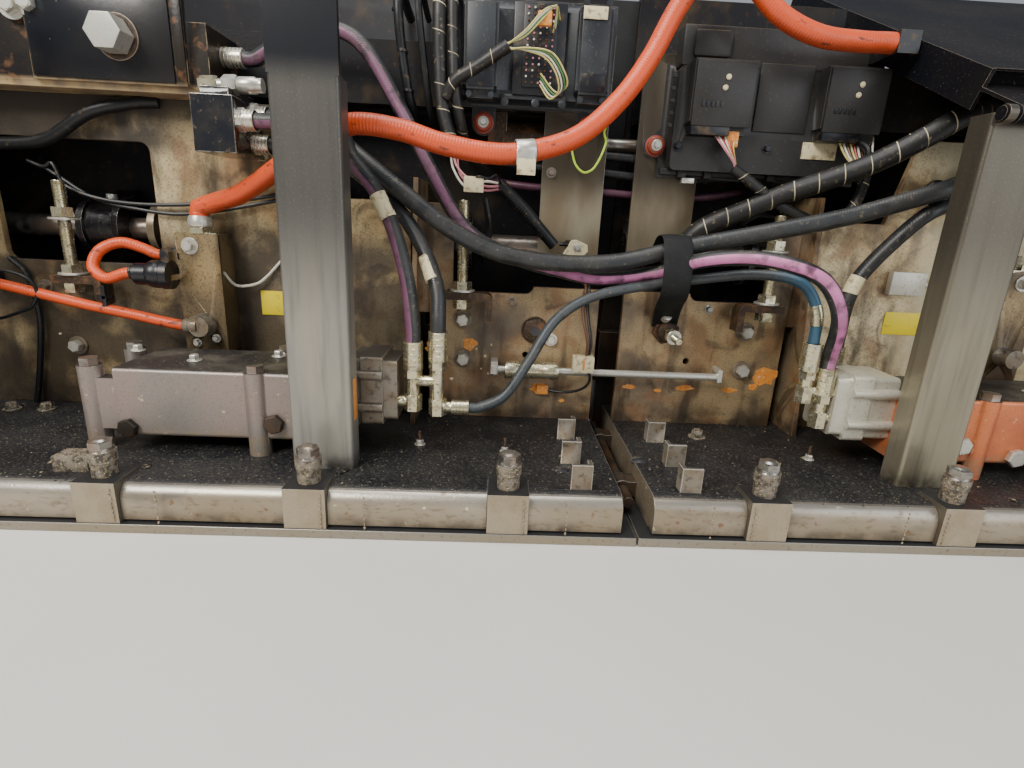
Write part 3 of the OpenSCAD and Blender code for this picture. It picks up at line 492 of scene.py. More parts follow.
def gloss_enamel():
    """Sprayed black enamel: mirror-like with orange peel, chipped to metal along the edges."""
    f = Finish("black_enamel", "gloss_black", 0.24, 0.0)
    f.coat(f.patches(160, 0.45, 0.75, 0.5), "oil", 0.4)
    f.coat(f.patches(5, 0.68, 0.74, 0.5, shift=2.0), "flange", 0.6)
    f.coat(f.facing(UP, 0.75, 0.98), "ash", 0.6)
    f.coat(f.both(f.worn(), f.patches(24, 0.48, 0.60)), "flange", 0.4, 0.5)
    f.relief(f.clouds(7, detail=2.0), 0.10)
    return f.done(Specular_IOR_Level=0.35, Coat_Weight=0.12, Coat_Roughness=0.12)


def beam_paint():
    """Old brown-black paint of the beams, tan where it has burnt off along the lower edges."""
    f = Finish("burnt_brown_paint", "oil", 0.36, 0.1)
    f.coat(f.patches(70, share=0.6), "gloss_black", 0.3)
    low = f.both(f.along("Z", 556, 544), 0.75)
    f.coat(low, "umber", 0.5)
    f.coat(f.both(low, f.patches(30, 0.38, 0.62)), "ochre", 0.45)
    f.coat(f.patches(16, 0.56, 0.70, 0.5, shift=3.0), "rust", 0.6)
    f.coat(f.both(f.worn(), f.patches(30, 0.45, 0.62)), "dust", 0.45, 0.3)
    f.relief(f.clouds(5, detail=5.0), 0.25)
    return f.done(Specular_IOR_Level=0.3)


def platform_paint():
    """Platform sheet: black satin enamel with a faint film of dust."""
    f = Finish("black_satin_enamel", "gloss_black", 0.55, 0.0)
    f.coat(f.patches(180, share=0.35), "oil", 0.5)
    f.coat(f.patches(3, 0.62, 0.74, 0.25, shift=2.0), "flange", 0.6)
    f.coat(f.both(f.worn(), 0.5), "flange", 0.35, 0.4)
    f.relief(f.clouds(6, detail=2.0), 0.06)
    return f.done(Specular_IOR_Level=0.06)


def matt_enamel():
    """Front walls: dark enamel inside, brown with heat and dust; scoured steel in front."""
    f = Finish("black_enamel_matt", "oil", 0.5, 0.0)
    f.coat(f.patches(130, 0.30, 0.50, 0.85), "gloss_black", 0.45)
    f.coat(f.patches(60, 0.54, 0.74, 0.25, shift=3.0), "speckle", 0.6)
    f.coat(f.patches(9, 0.60, 0.74, 0.2, shift=6.0), "rust", 0.7)
    f.coat(f.facing(UP, 0.7, 0.98), "ash", 0.9)
    f.coat(f.both(f.worn(), f.patches(30, 0.40, 0.55, 0.6)), "dust", 0.6)
    # The side that the mix rubs against: scoured, and bright towards the tamper
    front = f.facing((0, 1, 0), 0.75, 0.95)
    f.coat(front, "soot", 0.45, 0.4)
    f.coat(f.both(front, f.along("Z", 520, 60), 0.75), "steel", 0.34, 0.8)
    f.coat(f.both(front, f.patches(240, 0.35, 0.70, 0.6, shift=9.0)), "grime", 0.45)
    f.coat(f.both(front, f.patches(8, 0.50, 0.80, 0.3, stretch=(0.1, 1, 1), shift=12.0)),
           "steel", 0.4, 0.7)
    f.coat(f.both(front, f.patches(20, 0.52, 0.75, 0.25, stretch=(0.3, 1, 1), shift=15.0)),
           "ash", 0.6)
    f.relief(f.clouds(5, detail=5.0), 0.25)
    return f.done(Specular_IOR_Level=0.2)


def satin_bar():
    """Flat bars of the control units: rolled steel in clear lacquer, beige and softly bright."""
    f = Finish("lacquered_flat_bar", "bar", 0.36, 0.6)
    f.coat(f.patches(50, share=0.6, stretch=(1, 1, 0.3)), "speckle", 0.42)
    f.coat(f.patches(2.4, 0.56, 0.72, 0.4, shift=3.0), "dust", 0.55)
    f.coat(f.both(f.along("Z", 400, 480), 0.85), "oil", 0.4)
    f.coat(f.both(f.worn(), 0.5), "zinc", 0.3, 0.8)
    f.relief(f.clouds(2.5, detail=4.0), 0.08)
    return f.done()


def bright_steel():
    """Turned and drawn steel: fine marks round the bar, brown film in places."""
    f = Finish("drawn_steel", "steel", 0.28, 0.95)
    f.coat(f.patches(40, share=0.6), "rust", 0.5, 0.5)
    f.coat(f.patches(20, 0.52, 0.7, 0.7, shift=4.0), "oil", 0.4, 0.2)
    f.relief(f.clouds(1.5, stretch=(3, 1, 1), detail=3.0), 0.04)
    return f.done()


def moulded_plastic():
    """Moulded glass-filled nylon: charcoal, fine grain, dusty on its ledges."""
    f = Finish("moulded_nylon", "plastic", 0.42, 0.0)
    f.coat(f.patches(70, share=0.6), "gloss_black", 0.36)
    f.coat(f.patches(4, 0.60, 0.75, 0.35, shift=3.0), "dust", 0.7)
    f.coat(f.both(f.along("X", 0, 70), 0.6), "oil", 0.45)
    f.coat(f.facing(UP, 0.6, 0.95), "speckle", 0.8)
    f.coat(f.both(f.worn(), 0.3), "flange", 0.4)
    f.relief(f.clouds(1.2, detail=3.0), 0.05)
    return f.done(Specular_IOR_Level=0.4)


def black_plastic():
    """Injection-moulded plugs and glands: near black, softly glossy."""
    f = Finish("moulded_plug_black", "gloss_black", 0.35, 0.0)
    f.coat(f.patches(12, 0.50, 0.72, 0.4), "speckle", 0.6)
    f.relief(f.clouds(1.2, detail=3.0), 0.05)
    return f.done()


def strap_rubber():
    """Strap of woven and rubbered cloth: matt black, faintly ribbed."""
    f = Finish("rubbered_cloth", "#191A1B", 0.75, 0.0)
    f.coat(f.patches(20, share=0.5), "grime", 0.6)
    f.coat(f.patches(4, 0.62, 0.76, 0.12, shift=3.0), "dust", 0.8)
    f.relief(f.clouds(1.5, stretch=(1, 1, 0.3), detail=3.0), 0.12)
    return f.done(Specular_IOR_Level=0.3)


def tan_box_paint():
    """Sheet box of the heating: heat-tanned above, darker below."""
    f = Finish("tanned_sheet_box", "speckle", 0.36, 0.3)
    f.coat(f.along("Z", 300, 345), "oil", 0.3)
    f.coat(f.patches(40, share=0.6, stretch=(1, 1, 0.5)), "ochre", 0.4)
    f.coat(f.patches(3, 0.50, 0.70, 0.6, shift=3.0), "oil", 0.45)
    f.coat(f.both(f.along("Z", 300, 240), 0.6), "oil", 0.45)
    f.coat(f.both(f.worn(), 0.6), "dust", 0.4, 0.4)
    f.relief(f.clouds(3, detail=5.0), 0.15)
    return f.done()


def hose_cover(name, colour="rubber", stripe=None, lean=0.0, half_width=0.06):
    """Extruded rubber over braid: faint weave, grey dust, lay line rubbed on the left."""
    f = Finish(name, colour, 0.42, 0.0)
    uv = f.uv()
    if stripe:
        # The hose twists a little on its way, so the line wanders round it
        twist = add(f.tree, "MapRange", None, {
            "Value": f.clouds(160, detail=1.0), "To Min": lean - 0.1,
            "To Max": lean + 0.1}).outputs[0]
        off = f.math("PINGPONG", f.math("ADD", uv["X"], twist), 0.5)
        line = f.range(off, half_width + 0.012, half_width)
        f.coat(line, stripe, 0.42)
        f.coat(f.both(line, f.along("X", -60, -180), 0.7), "rubber", 0.45)
        f.coat(f.both(line, f.patches(14, 0.50, 0.70, 0.6, shift=3.0)), "rubber", 0.5)
    f.coat(f.patches(40, share=0.3, shift=2.0), "ash", 0.6)
    f.coat(f.patches(6, 0.58, 0.74, 0.35, shift=5.0), "dust", 0.7)
    f.coat(f.patches(30, 0.54, 0.70, 0.7, shift=7.0), "grime", 0.3)
    # Braid marks 3 mm apart along the hose and twelve round it
    weave = add(f.tree, "CombineXYZ", None, {
        0: f.math("MULTIPLY", uv["X"], 12.0), 1: f.math("DIVIDE", uv["Y"], 3.0)})
    wave = add(f.tree, "TexWave", {"bands_direction": "DIAGONAL"}, {
        "Vector": weave.outputs[0], "Scale": 0.5, "Distortion": 0.6}).outputs[1]
    f.relief(wave, 0.10)
    return f


def plain_hose():
    """Black hydraulic hose."""
    return hose_cover("hose_rubber").done()


def blue_hose():
    """Thin hydraulic hose, grey, with a steel-blue cover at its right end."""
    f = hose_cover("hose_rubber_blue", "#383F43")
    f.coat(f.both(f.along("X", 190, 240), 0.85), "hose_blue", 0.4)
    return f.done()


def long_striped_hose():
    """Black hydraulic hose with a broad pink lay line on its upper side."""
    return hose_cover("hose_rubber_pink_long", "rubber", "stripe", 0.22, 0.10).done()


def short_striped_hose():
    """Black hydraulic hose with a narrow pink lay line."""
    return hose_cover("hose_rubber_pink_short", "rubber", "stripe", 0.15, 0.08).done()


def orange_cover():
    """Corrugated orange cover of the conduits: ribs 4 mm apart, scuffed, black marks, and painted
    shade on the underside.
    """
    f = Finish("orange_conduit_cover", "orange", 0.36, 0.0)
    f.coat(f.patches(70, share=0.5), "#C24E26", 0.42)
    # Painted shade: the undersides, by their smooth normals, are a darker orange
    f.coat(f.facing(UP, -0.3, -0.95, True), "#A8401F", 0.45)
    f.coat(f.patches(9, 0.60, 0.72, 0.8, stretch=(0.5, 1, 1), shift=4.0), "oil", 0.5)
    f.coat(f.both(f.facing(UP, 0.4, 0.95, True), f.patches(12, 0.5, 0.7, 0.4)), "dust", 0.6)
    f.relief(f.clouds(3, detail=4.0), 0.12)
    f.relief(f.math("SINE", f.math("MULTIPLY", f.uv()["Y"], math.tau / 4)), 0.12)
    return f.done()


def loom_tape():
    """Cloth tape wound round a loom: laps 17 mm apart, and a pale tie on every second one."""
    f = Finish("cloth_tape", "tape", 0.5, 0.0)
    uv = f.uv()
    turn = f.math("MULTIPLY_ADD", uv["Y"], 1 / 17, uv["X"])
    tie = f.math("FRACT", f.math("MULTIPLY", turn, 0.5))
    f.coat(f.patches(20, share=0.5), "oil", 0.4)
    f.coat(f.both(f.range(tie, 0.955, 0.975), f.patches(26, 0.35, 0.55)), "cream", 0.6)
    f.coat(f.patches(7, 0.60, 0.72, 0.4), "dust", 0.8)
    f.relief(f.math("FRACT", turn), 0.5)
    return f.done()


def flat_colour(name, colour, roughness=0.45, dirt=0.50):
    """Thin coloured plastic, softened by dirt."""
    f = Finish(name, colour, roughness, 0.0)
    f.coat(f.patches(8, dirt, dirt + 0.2, 0.7), "speckle", 0.6)
    f.relief(f.clouds(2, detail=3.0), 0.04)
    return f.done(Specular_IOR_Level=0.35)


def cream_label():
    """Cream tags and labels, blank and smudged."""
    return flat_colour("printed_film_cream", "cream")


def yellow_plate():
    """Blank yellow plates, enamelled."""
    return flat_colour("enamelled_plate_yellow", "sign", 0.32, 0.60)


def red_rubber():
    """Red rubber rings under the control units."""
    return flat_colour("moulded_rubber_red", "#8E3A2C", 0.5)


def chip_paint():
    """Old yellow and orange paint, chalky."""
    f = Finish("old_paint_orange", "chip", 0.55, 0.0)
    f.coat(f.patches(6, 0.45, 0.65, 0.6), "#D07424", 0.6)
    f.coat(f.patches(4, 0.58, 0.7, 0.7, shift=3.0), "cream", 0.7)
    f.relief(f.clouds(3, detail=5.0), 0.3)
    return f.done()


def grit_stone():
    """Crushed stone coated with bitumen, here and there rubbed pale."""
    f = Finish("crushed_stone", "grime", 0.5, 0.0)
    f.coat(f.patches(22, 0.50, 0.60), "ash", 0.7)
    f.coat(f.patches(14, 0.58, 0.64, shift=3.0), "dust", 0.8)
    return f.done()


WIRE_COLOURS = {
    "yellow": "#C9BE74", "green": "#4E7A4A", "red": "#9A3A2C", "white": "#D8D4C4",
    "pink": "#C07F86", "brown": "#5A3A28", "lime": "#A9C83C", "black": "#17181A",
    "orange": "#D9622B", "plum": "#4A2C3A"}


def wire_colour(name):
    """Insulated wire in one of the loom's colours."""
    return flat_colour("wire_" + name, WIRE_COLOURS[name], 0.4, 0.58)


def shared(maker, *args):
    """The finish that a maker gives, made once."""
    key = "_".join([maker.__name__, *args])
    for material in bpy.data.materials:
        if material.get("maker") == key:
            return material
    material = maker(*args)
    material["maker"] = key
    return material


def wire(name):
    """The shared finish of one colour of wire."""
    return shared(wire_colour, name)


# Angles in degrees: faces that count as one flat, corners that get a broken edge, corners that
# stay sharp; and the distance in metres at which two vertices are one
ONE_FLAT, CORNER, SHARP = 0.6, 32, 38
ONE_PLACE = 2e-6


def frame_from(direction, side=REAR):
    """The turn that lays local Z along a direction, with local Y towards the given side."""
    z = Vector(direction).normalized()
    y = Vector(side) - Vector(side).dot(z) * z
    y = y.normalized() if y.length > 0.05 else z.orthogonal().normalized()
    return Matrix((y.cross(z), y, z)).transposed().to_4x4()


def island(vert):
    """Every vertex joined to this one."""
    found, open_verts = {vert}, [vert]
    while open_verts:
        for edge in open_verts.pop().link_edges:
            for other in edge.verts:
                if other not in found:
                    found.add(other)
                    open_verts.append(other)
    return found


def route(points, step):
    """Even stations on a smooth line through the points, each with its heading."""
    p = [Vector(q) for q in points]
    gaps = [(b - a).length for a, b in zip(p, p[1:])]
    lean = [(p[1] - p[0]) / gaps[0]]
    for i in range(1, len(p) - 1):
        lean.append((p[i + 1] - p[i - 1]) / (gaps[i] + gaps[i - 1]))
    lean.append((p[-1] - p[-2]) / gaps[-1])
    stations = []
    for i, gap in enumerate(gaps):
        count = max(1, round(gap / step))
        for k in range(count + (i == len(gaps) - 1)):
            t = k / count
            a, b = lean[i] * gap, lean[i + 1] * gap
            here = ((2 * t**3 - 3 * t**2 + 1) * p[i] + (t**3 - 2 * t**2 + t) * a
                    + (3 * t**2 - 2 * t**3) * p[i + 1] + (t**3 - t**2) * b)
            heading = ((6 * t**2 - 6 * t) * p[i] + (3 * t**2 - 4 * t + 1) * a
                       + (6 * t - 6 * t**2) * p[i + 1] + (3 * t**2 - 2 * t) * b)
            stations.append((here, heading))
    return stations


def keep_outlook(bm):
    """Notes on each face the way that it looks at rest."""
    bm.normal_update()
    outlook = bm.faces.layers.float_vector.new("outlook")
    for face in bm.faces:
        face[outlook] = face.normal


def bevelled(bm, edges, width, segments=2):
    """Breaks edges to a width, and gives what the bevel made."""
    return bmesh.ops.bevel(bm, geom=list(edges), offset=width, offset_type="OFFSET",
                           segments=segments, profile=0.5, affect="EDGES", clamp_overlap=True,
                           material=-1)


def placed(name, mesh):
    """A new object of a mesh, smooth up to an angle that only corners exceed."""
    mesh.set_sharp_from_angle(angle=math.radians(SHARP))
    piece = bpy.data.objects.new(name, mesh)
    bpy.context.scene.collection.objects.link(piece)
    return piece


class Piece:
    """A piece modelled in screed millimetres; each form in it has a finish, or a finish's maker."""

    def __init__(self, name, body):
        self.name = name
        self.body = body
        self.bm = bmesh.new()
        self.uv = self.bm.loops.layers.uv.new("UVMap")
        self.finishes = []

    def paint(self, vert, finish, smooth=True):
        """Gives a whole form its finish and its normals."""
        if callable(finish):
            finish = shared(finish)
        if finish not in self.finishes:
            self.finishes.append(finish)
        faces = {face for v in island(vert) for face in v.link_faces}
        for face in faces:
            face.material_index = self.finishes.index(finish)
            face.smooth = smooth
        bmesh.ops.recalc_face_normals(self.bm, faces=list(faces))

    def turned(self, at, direction, profile, finish, steps=24):
        """A turned form; the profile lists the distance along the axis and the radius there."""
        verts = [self.bm.verts.new((r, 0, a)) for a, r in profile]
        edges = [self.bm.edges.new(pair) for pair in zip(verts, verts[1:])]
        bmesh.ops.spin(self.bm, geom=verts + edges, cent=(0, 0, 0), axis=UP,
                       angle=math.tau, steps=steps, use_merge=True)
        keep = verts[1]
        bmesh.ops.remove_doubles(self.bm, verts=list(island(keep)), dist=0.001)
        bmesh.ops.transform(self.bm, verts=list(island(keep)),
                            matrix=Matrix.Translation(at) @ frame_from(direction))
        self.paint(keep, finish, steps > 8)

    def washer(self, at, direction, radius, hole, thick, finish, steps=24):
        """A flat ring with broken edges."""
        e = min(0.4, thick / 3)
        self.turned(at, direction, [
            (0, hole), (0, radius - e), (e, radius), (thick - e, radius), (thick, radius - e),
            (thick, hole), (0, hole)], finish, steps)

    def hexagon(self, at, direction, flats, height, finish):
        """A nut or bolt head with its corners turned off, lying on at."""
        r = flats / math.sqrt(3)
        c = height * 0.18
        self.turned(at, direction, [
            (0, 0), (0, r * 0.96), (c * 0.4, r), (height - c, r), (height, r * 0.88),
            (height, 0)], finish, 6)

    def bolt(self, at, direction, flats, finish, ring=None, head=None):
        """A hexagon bolt on its washer."""
        at, way = Vector(at), Vector(direction).normalized()
        thick, head, rim = flats * 0.13, head or flats * 0.62, flats * 0.03
        self.washer(at, way, flats * 0.84, flats * 0.3, thick, ring or finish)
        self.hexagon(at + way * thick, way, flats, head, finish)
        self.turned(at + way * (thick + head), way, [
            (0, 0), (0, flats * 0.42), (rim, flats * 0.40), (rim, 0)], finish)

    def thread(self, start, end, radius, pitch, finish):
        """A threaded bar with rounded ridges."""
        start, end = Vector(start), Vector(end)
        span = (end - start).length
        profile = [(0, 0), (0, radius * 0.8)]
        for i in range(int(span / pitch)):
            profile += [((i + 0.25) * pitch, radius), ((i + 0.75) * pitch, radius * 0.86)]
        profile += [(span, radius * 0.8), (span, 0)]
        self.turned(start, end - start, profile, finish, 16)

    def block(self, low, high, finish, edge=1.0):
        """A bar or block with broken edges."""
        low, high = Vector(low), Vector(high)
        verts = bmesh.ops.create_cube(self.bm, size=1.0)["verts"]
        bmesh.ops.scale(self.bm, vec=high - low, verts=verts)
        keep = bevelled(self.bm, {e for v in verts for e in v.link_edges}, edge)["verts"][0]
        bmesh.ops.translate(self.bm, vec=(low + high) / 2, verts=list(island(keep)))
        self.paint(keep, finish, False)

    def slab(self, outline, at, direction, thick, finish, edge, side):
        """A flat outline, in its own plane, drawn out to a thickness."""
        verts = [self.bm.verts.new((x, y, 0)) for x, y in outline]
        face = self.bm.faces.new(verts)
        out = bmesh.ops.extrude_face_region(self.bm, geom=[face])
        top = [g for g in out["geom"] if isinstance(g, bmesh.types.BMVert)]
        bmesh.ops.translate(self.bm, vec=(0, 0, thick), verts=top)
        rim = {e for v in top for e in v.link_edges if all(w in top for w in e.verts)}
        keep = bevelled(self.bm, rim, edge, 1)["verts"][0]
        bmesh.ops.transform(self.bm, verts=list(island(keep)),
                            matrix=Matrix.Translation(at) @ frame_from(direction, side))
        self.paint(keep, finish, False)

    def tube(self, points, radius, finish, sides=14, step=8.0, flat=1.0, side=REAR):
        """A hose, wire or strap through the points; UVs hold the share of the turn and the run."""
        stations = route(points, step)
        places = [Matrix.Translation(p) @ frame_from(t, side) for p, t in stations]
        ring = bmesh.ops.create_circle(self.bm, cap_ends=True, radius=radius, segments=sides,
                                       matrix=places[0] @ Matrix.Diagonal((flat, 1, 1, 1)))["verts"]
        back = places[0].inverted()
        ring.sort(key=lambda v: math.atan2(*(back @ v.co).yx))
        first, run = ring[0], 0.0
        for old, new in zip(places, places[1:]):
            edges = [self.bm.edges.get((ring[k], ring[k - 1])) for k in range(sides)]
            made = bmesh.ops.extrude_edge_only(self.bm, edges=edges)["geom"]
            mate = {}
            for vert in made:
                if isinstance(vert, bmesh.types.BMVert):
                    for edge in vert.link_edges:
                        mate[edge.other_vert(vert)] = vert
            following = [mate[v] for v in ring]
            bmesh.ops.transform(self.bm, matrix=new @ old.inverted(), verts=following)
            gap = (new.translation - old.translation).length
            for k in range(sides):
                spots = {ring[k - 1]: (k - 1, run), ring[k]: (k, run),
                         following[k - 1]: (k - 1, run + gap), following[k]: (k, run + gap)}
                face = self.bm.faces.get([ring[k - 1], ring[k], following[k], following[k - 1]])
                for loop in face.loops:
                    turn, distance = spots[loop.vert]
                    loop[self.uv].uv = ((turn + 1) / sides, distance)
            ring = following
            run += gap
        last = [self.bm.edges.get((ring[k], ring[k - 1])) for k in range(sides)]
        bmesh.ops.edgeloop_fill(self.bm, edges=last)
        self.paint(first, finish)

    def lump(self, at, radii, finish, rng, detail=1):
        """A grain or crust with an uneven skin."""
        verts = bmesh.ops.create_icosphere(self.bm, subdivisions=detail, radius=1.0)["verts"]
        for vert in verts:
            vert.co *= rng.uniform(0.75, 1.15)
        place = Matrix.Translation(at) @ Matrix.Diagonal((*radii, 1.0))
        bmesh.ops.transform(self.bm, matrix=place, verts=verts)
        self.paint(verts[0], finish, detail > 1)

    def flake(self, at, width, height, finish, rng):
        """A thin chip of paint with a ragged outline, on a wall."""
        corners = 13
        outline = []
        for i in range(corners):
            turn = math.tau * i / corners
            outline.append((width * rng.uniform(0.55, 1.0) * math.cos(turn),
                            height * rng.uniform(0.55, 1.0) * math.sin(turn)))
        self.slab(outline, at, REAR, 0.4, finish, 0.15, UP)

    def finish(self, replaces=(), blend=False):
        """Sets the piece into the frame and lets it ride on its body."""
        bmesh.ops.scale(self.bm, vec=(MM, MM, MM), verts=self.bm.verts)
        bmesh.ops.translate(self.bm, vec=(0, REAR_EDGE, 0), verts=self.bm.verts)
        keep_outlook(self.bm)
        mesh = bpy.data.meshes.new(self.name)
        self.bm.to_mesh(mesh)
        self.bm.free()
        for finish in self.finishes:
            mesh.materials.append(finish)
        piece = placed(self.name, mesh)
        if blend:
            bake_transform(piece)
        else:
            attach(piece, self.body)
        if replaces:
            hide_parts(*replaces)


def halves(stem):
    """A piece for each half of the screed."""
    return {body: Piece(stem + body, body) for body in HALVES}


def body_of(node):
    """The body that carries a CAD node."""
    bodies = frame["record"]["behaviour"]["bodies"]
    return next(name for name, nodes in bodies.items() if node in nodes)


# Parts of a CAD piece with a finish of their own, as boxes: the finish, then the low and the high
# corner in distances from the joint, from the soles' rear edge and above the road
ZONES = {
    "base": [(cast_iron, (12, 4, 63), (130, 300, 160))],
    "clamps": [
        (crusted_sleeve, (0, 0, 66.2), (1250, 60, 98.8)),
        (bright_steel, (0, 0, 98.8), (1250, 60, 120))],
    "adjusters": [
        (yellow_zinc, (x - 18.4, 256.5, 200), (x + 18.4, 283.5, 430))
        for x in (245, 845)],
    "vib_motor_l": [(yellow_zinc, (0, 100, 0), (325.5, 300, 300))],
    "vib_motor_r": [
        (yellow_zinc, (0, 100, 0), (303.5, 300, 300)),
        (zinc_plate, (317, 187, 197.5), (343, 213, 240))],
    "terminal_box": [
        (black_plastic, (672.5, 200, 270), (760, 280, 340)),
        (cast_iron, (600, 200, 190), (672, 249.8, 240)),
        (yellow_zinc, (600, 240, 352.2), (672, 290, 400)),
        (black_plastic, (960, 200, 200), (1000, 299, 300))],
    "valve_block": [
        (zinc_plate, (500, 180, 440), (544.8, 300, 560)),
        (zinc_plate, (560, 280, 562), (602, 320, 620))],
    "hose_block": [(zinc_plate, (500, 180, 400), (559.8, 290, 520))],
    "beam": [
        (zinc_plate, (670, 190, 500), (760, 241.8, 680)),
        (rusty_iron, (670, 241.8, 500), (760, 246.9, 680))],
    "control": [
        (satin_bar, (0, 333.9, 300), (400, 345, 700)),
        (black_plastic, (335, 200, 625), (400, 300, 690))],
    "shaft": [(satin_bar, (751.5, 320, 290), (764.5, 440, 410))],
    "bearings": [(zinc_plate, (x - 9, 366, 390.3), (x + 9, 386, 415)) for x in (268, 838)],
    "vib_housing": [(bright_steel, (480, 100, 180.2), (760, 260, 200))],
}


def dressed_copy(node, finish, edge):
    """Sets down a copy of a CAD piece, with its outer edges broken and marked as worn."""
    bm = bmesh.new()
    bm.from_mesh(frame["nodes"][node].data)
    bmesh.ops.remove_doubles(bm, verts=bm.verts, dist=ONE_PLACE)
    bmesh.ops.dissolve_limit(bm, angle_limit=math.radians(ONE_FLAT), verts=bm.verts,
                             edges=bm.edges)
    worn = bm.faces.layers.float.new("wear")
    corners = [e for e in bm.edges if len(e.link_faces) == 2 and e.is_convex
               and e.calc_face_angle() > math.radians(CORNER)]
    made = bevelled(bm, corners, edge * MM)
    for face in bm.faces:
        face.smooth = True
    for face in made["faces"]:
        face[worn] = 1.0
    bmesh.ops.triangulate(bm, faces=[f for f in bm.faces if len(f.verts) > 4])
    zones = ZONES.get(node) or ZONES.get(node[:-2], [])
    for face in bm.faces:
        c = face.calc_center_median()
        spot = (abs(c.x) / MM, (c.y - REAR_EDGE) / MM, c.z / MM)
        for i, (_, low, high) in enumerate(zones):
            if all(a <= s <= b for a, s, b in zip(low, spot, high)):
                face.material_index = i + 1
    keep_outlook(bm)
    mesh = bpy.data.meshes.new(node + "_dressed")
    bm.to_mesh(mesh)
    bm.free()
    for maker in (finish, *(zone[0] for zone in zones)):
        mesh.materials.append(shared(maker))
    piece = placed(node + "_dressed", mesh)
    even = piece.modifiers.new("Even normals", "WEIGHTED_NORMAL")
    even.keep_sharp = True
    even.weight = 90
    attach(piece, body_of(node))
    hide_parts(node)


# Area lamps: place, target, watts, width in metres, colour
LAMPS = {
    "key": ((-1.9, -2.3, 2.5), (-0.1, 0.0, 0.25), 125.0, 1.3, (1.0, 0.95, 0.88)),
    "fill": ((2.2, -2.4, 1.3), (0.2, 0.0, 0.25), 38.0, 2.2, (0.92, 0.95, 1.0)),
    "top": ((-0.3, -0.5, 2.9), (-0.1, -0.1, 0.2), 55.0, 1.6, (1.0, 0.98, 0.95)),
}
# The photographer stood 0.6 m behind the screed: the camera's place is in metres,
# its turns are in degrees and its focal length is in pixels of the photo
CAMERA_AT = (-0.193, REAR_EDGE - 0.620, 0.394)
PITCH, ROLL, YAW = 16.43, 2.76, 2.17
FOCAL_LENGTH, PHOTO_WIDTH = 557, 1024
SENSOR_WIDTH = 36.0


class SCREED_OT_stage(bpy.types.Operator):
    """Plain pale floor, soft studio light and the camera of the photograph"""
    bl_idname = "screed.stage"
    bl_label = "Stage"

    def execute(self, context):
        scene = context.scene
        bm = bmesh.new()
        bmesh.ops.create_grid(bm, x_segments=1, y_segments=1, size=30.0)
        mesh = bpy.data.meshes.new("floor")
        bm.to_mesh(mesh)
        bm.free()
        floor = bpy.data.objects.new("floor", mesh)
        scene.collection.objects.link(floor)
        f = Finish("floor_paint", "#D9D6D0", 0.7)
        f.coat(f.patches(900, 0.4, 0.7), "#D2CFC9")
        mesh.materials.append(f.done())

        world = bpy.data.worlds.new("studio")
        world.use_nodes = True
        sky = world.node_tree.nodes["Background"].inputs
        sky["Color"].default_value = (0.80, 0.84, 0.92, 1.0)
        sky["Strength"].default_value = 0.42
        scene.world = world
        for name, (at, target, power, width, colour) in LAMPS.items():
            lamp = bpy.data.lights.new(name, "AREA")
            lamp.energy = power
            lamp.size = width
            lamp.color = colour
            holder = bpy.data.objects.new(name, lamp)
            holder.location = at
            aim = Vector(target) - Vector(at)
            holder.rotation_euler = aim.to_track_quat("-Z", "Y").to_euler()
            scene.collection.objects.link(holder)

        pitch, roll, yaw = (math.radians(a) for a in (PITCH, ROLL, YAW))
        s, c = math.sin(pitch), math.cos(pitch)
        level = Matrix(((1, 0, 0), (0, -s, -c), (0, c, -s)))
        view = Matrix.Rotation(roll, 3, "Z") @ level @ Matrix.Rotation(yaw, 3, "Z")
        camera = bpy.data.cameras.new("camera")
        camera.sensor_fit = "HORIZONTAL"
        camera.sensor_width = SENSOR_WIDTH
        camera.lens = FOCAL_LENGTH / PHOTO_WIDTH * SENSOR_WIDTH
        camera.clip_start = 0.02
        holder = bpy.data.objects.new("camera", camera)
        turn = Matrix((view[0], -view[1], -view[2])).transposed()
        holder.matrix_world = Matrix.Translation(CAMERA_AT) @ turn.to_4x4()
        scene.collection.objects.link(holder)
        scene.camera = holder
        return {"FINISHED"}


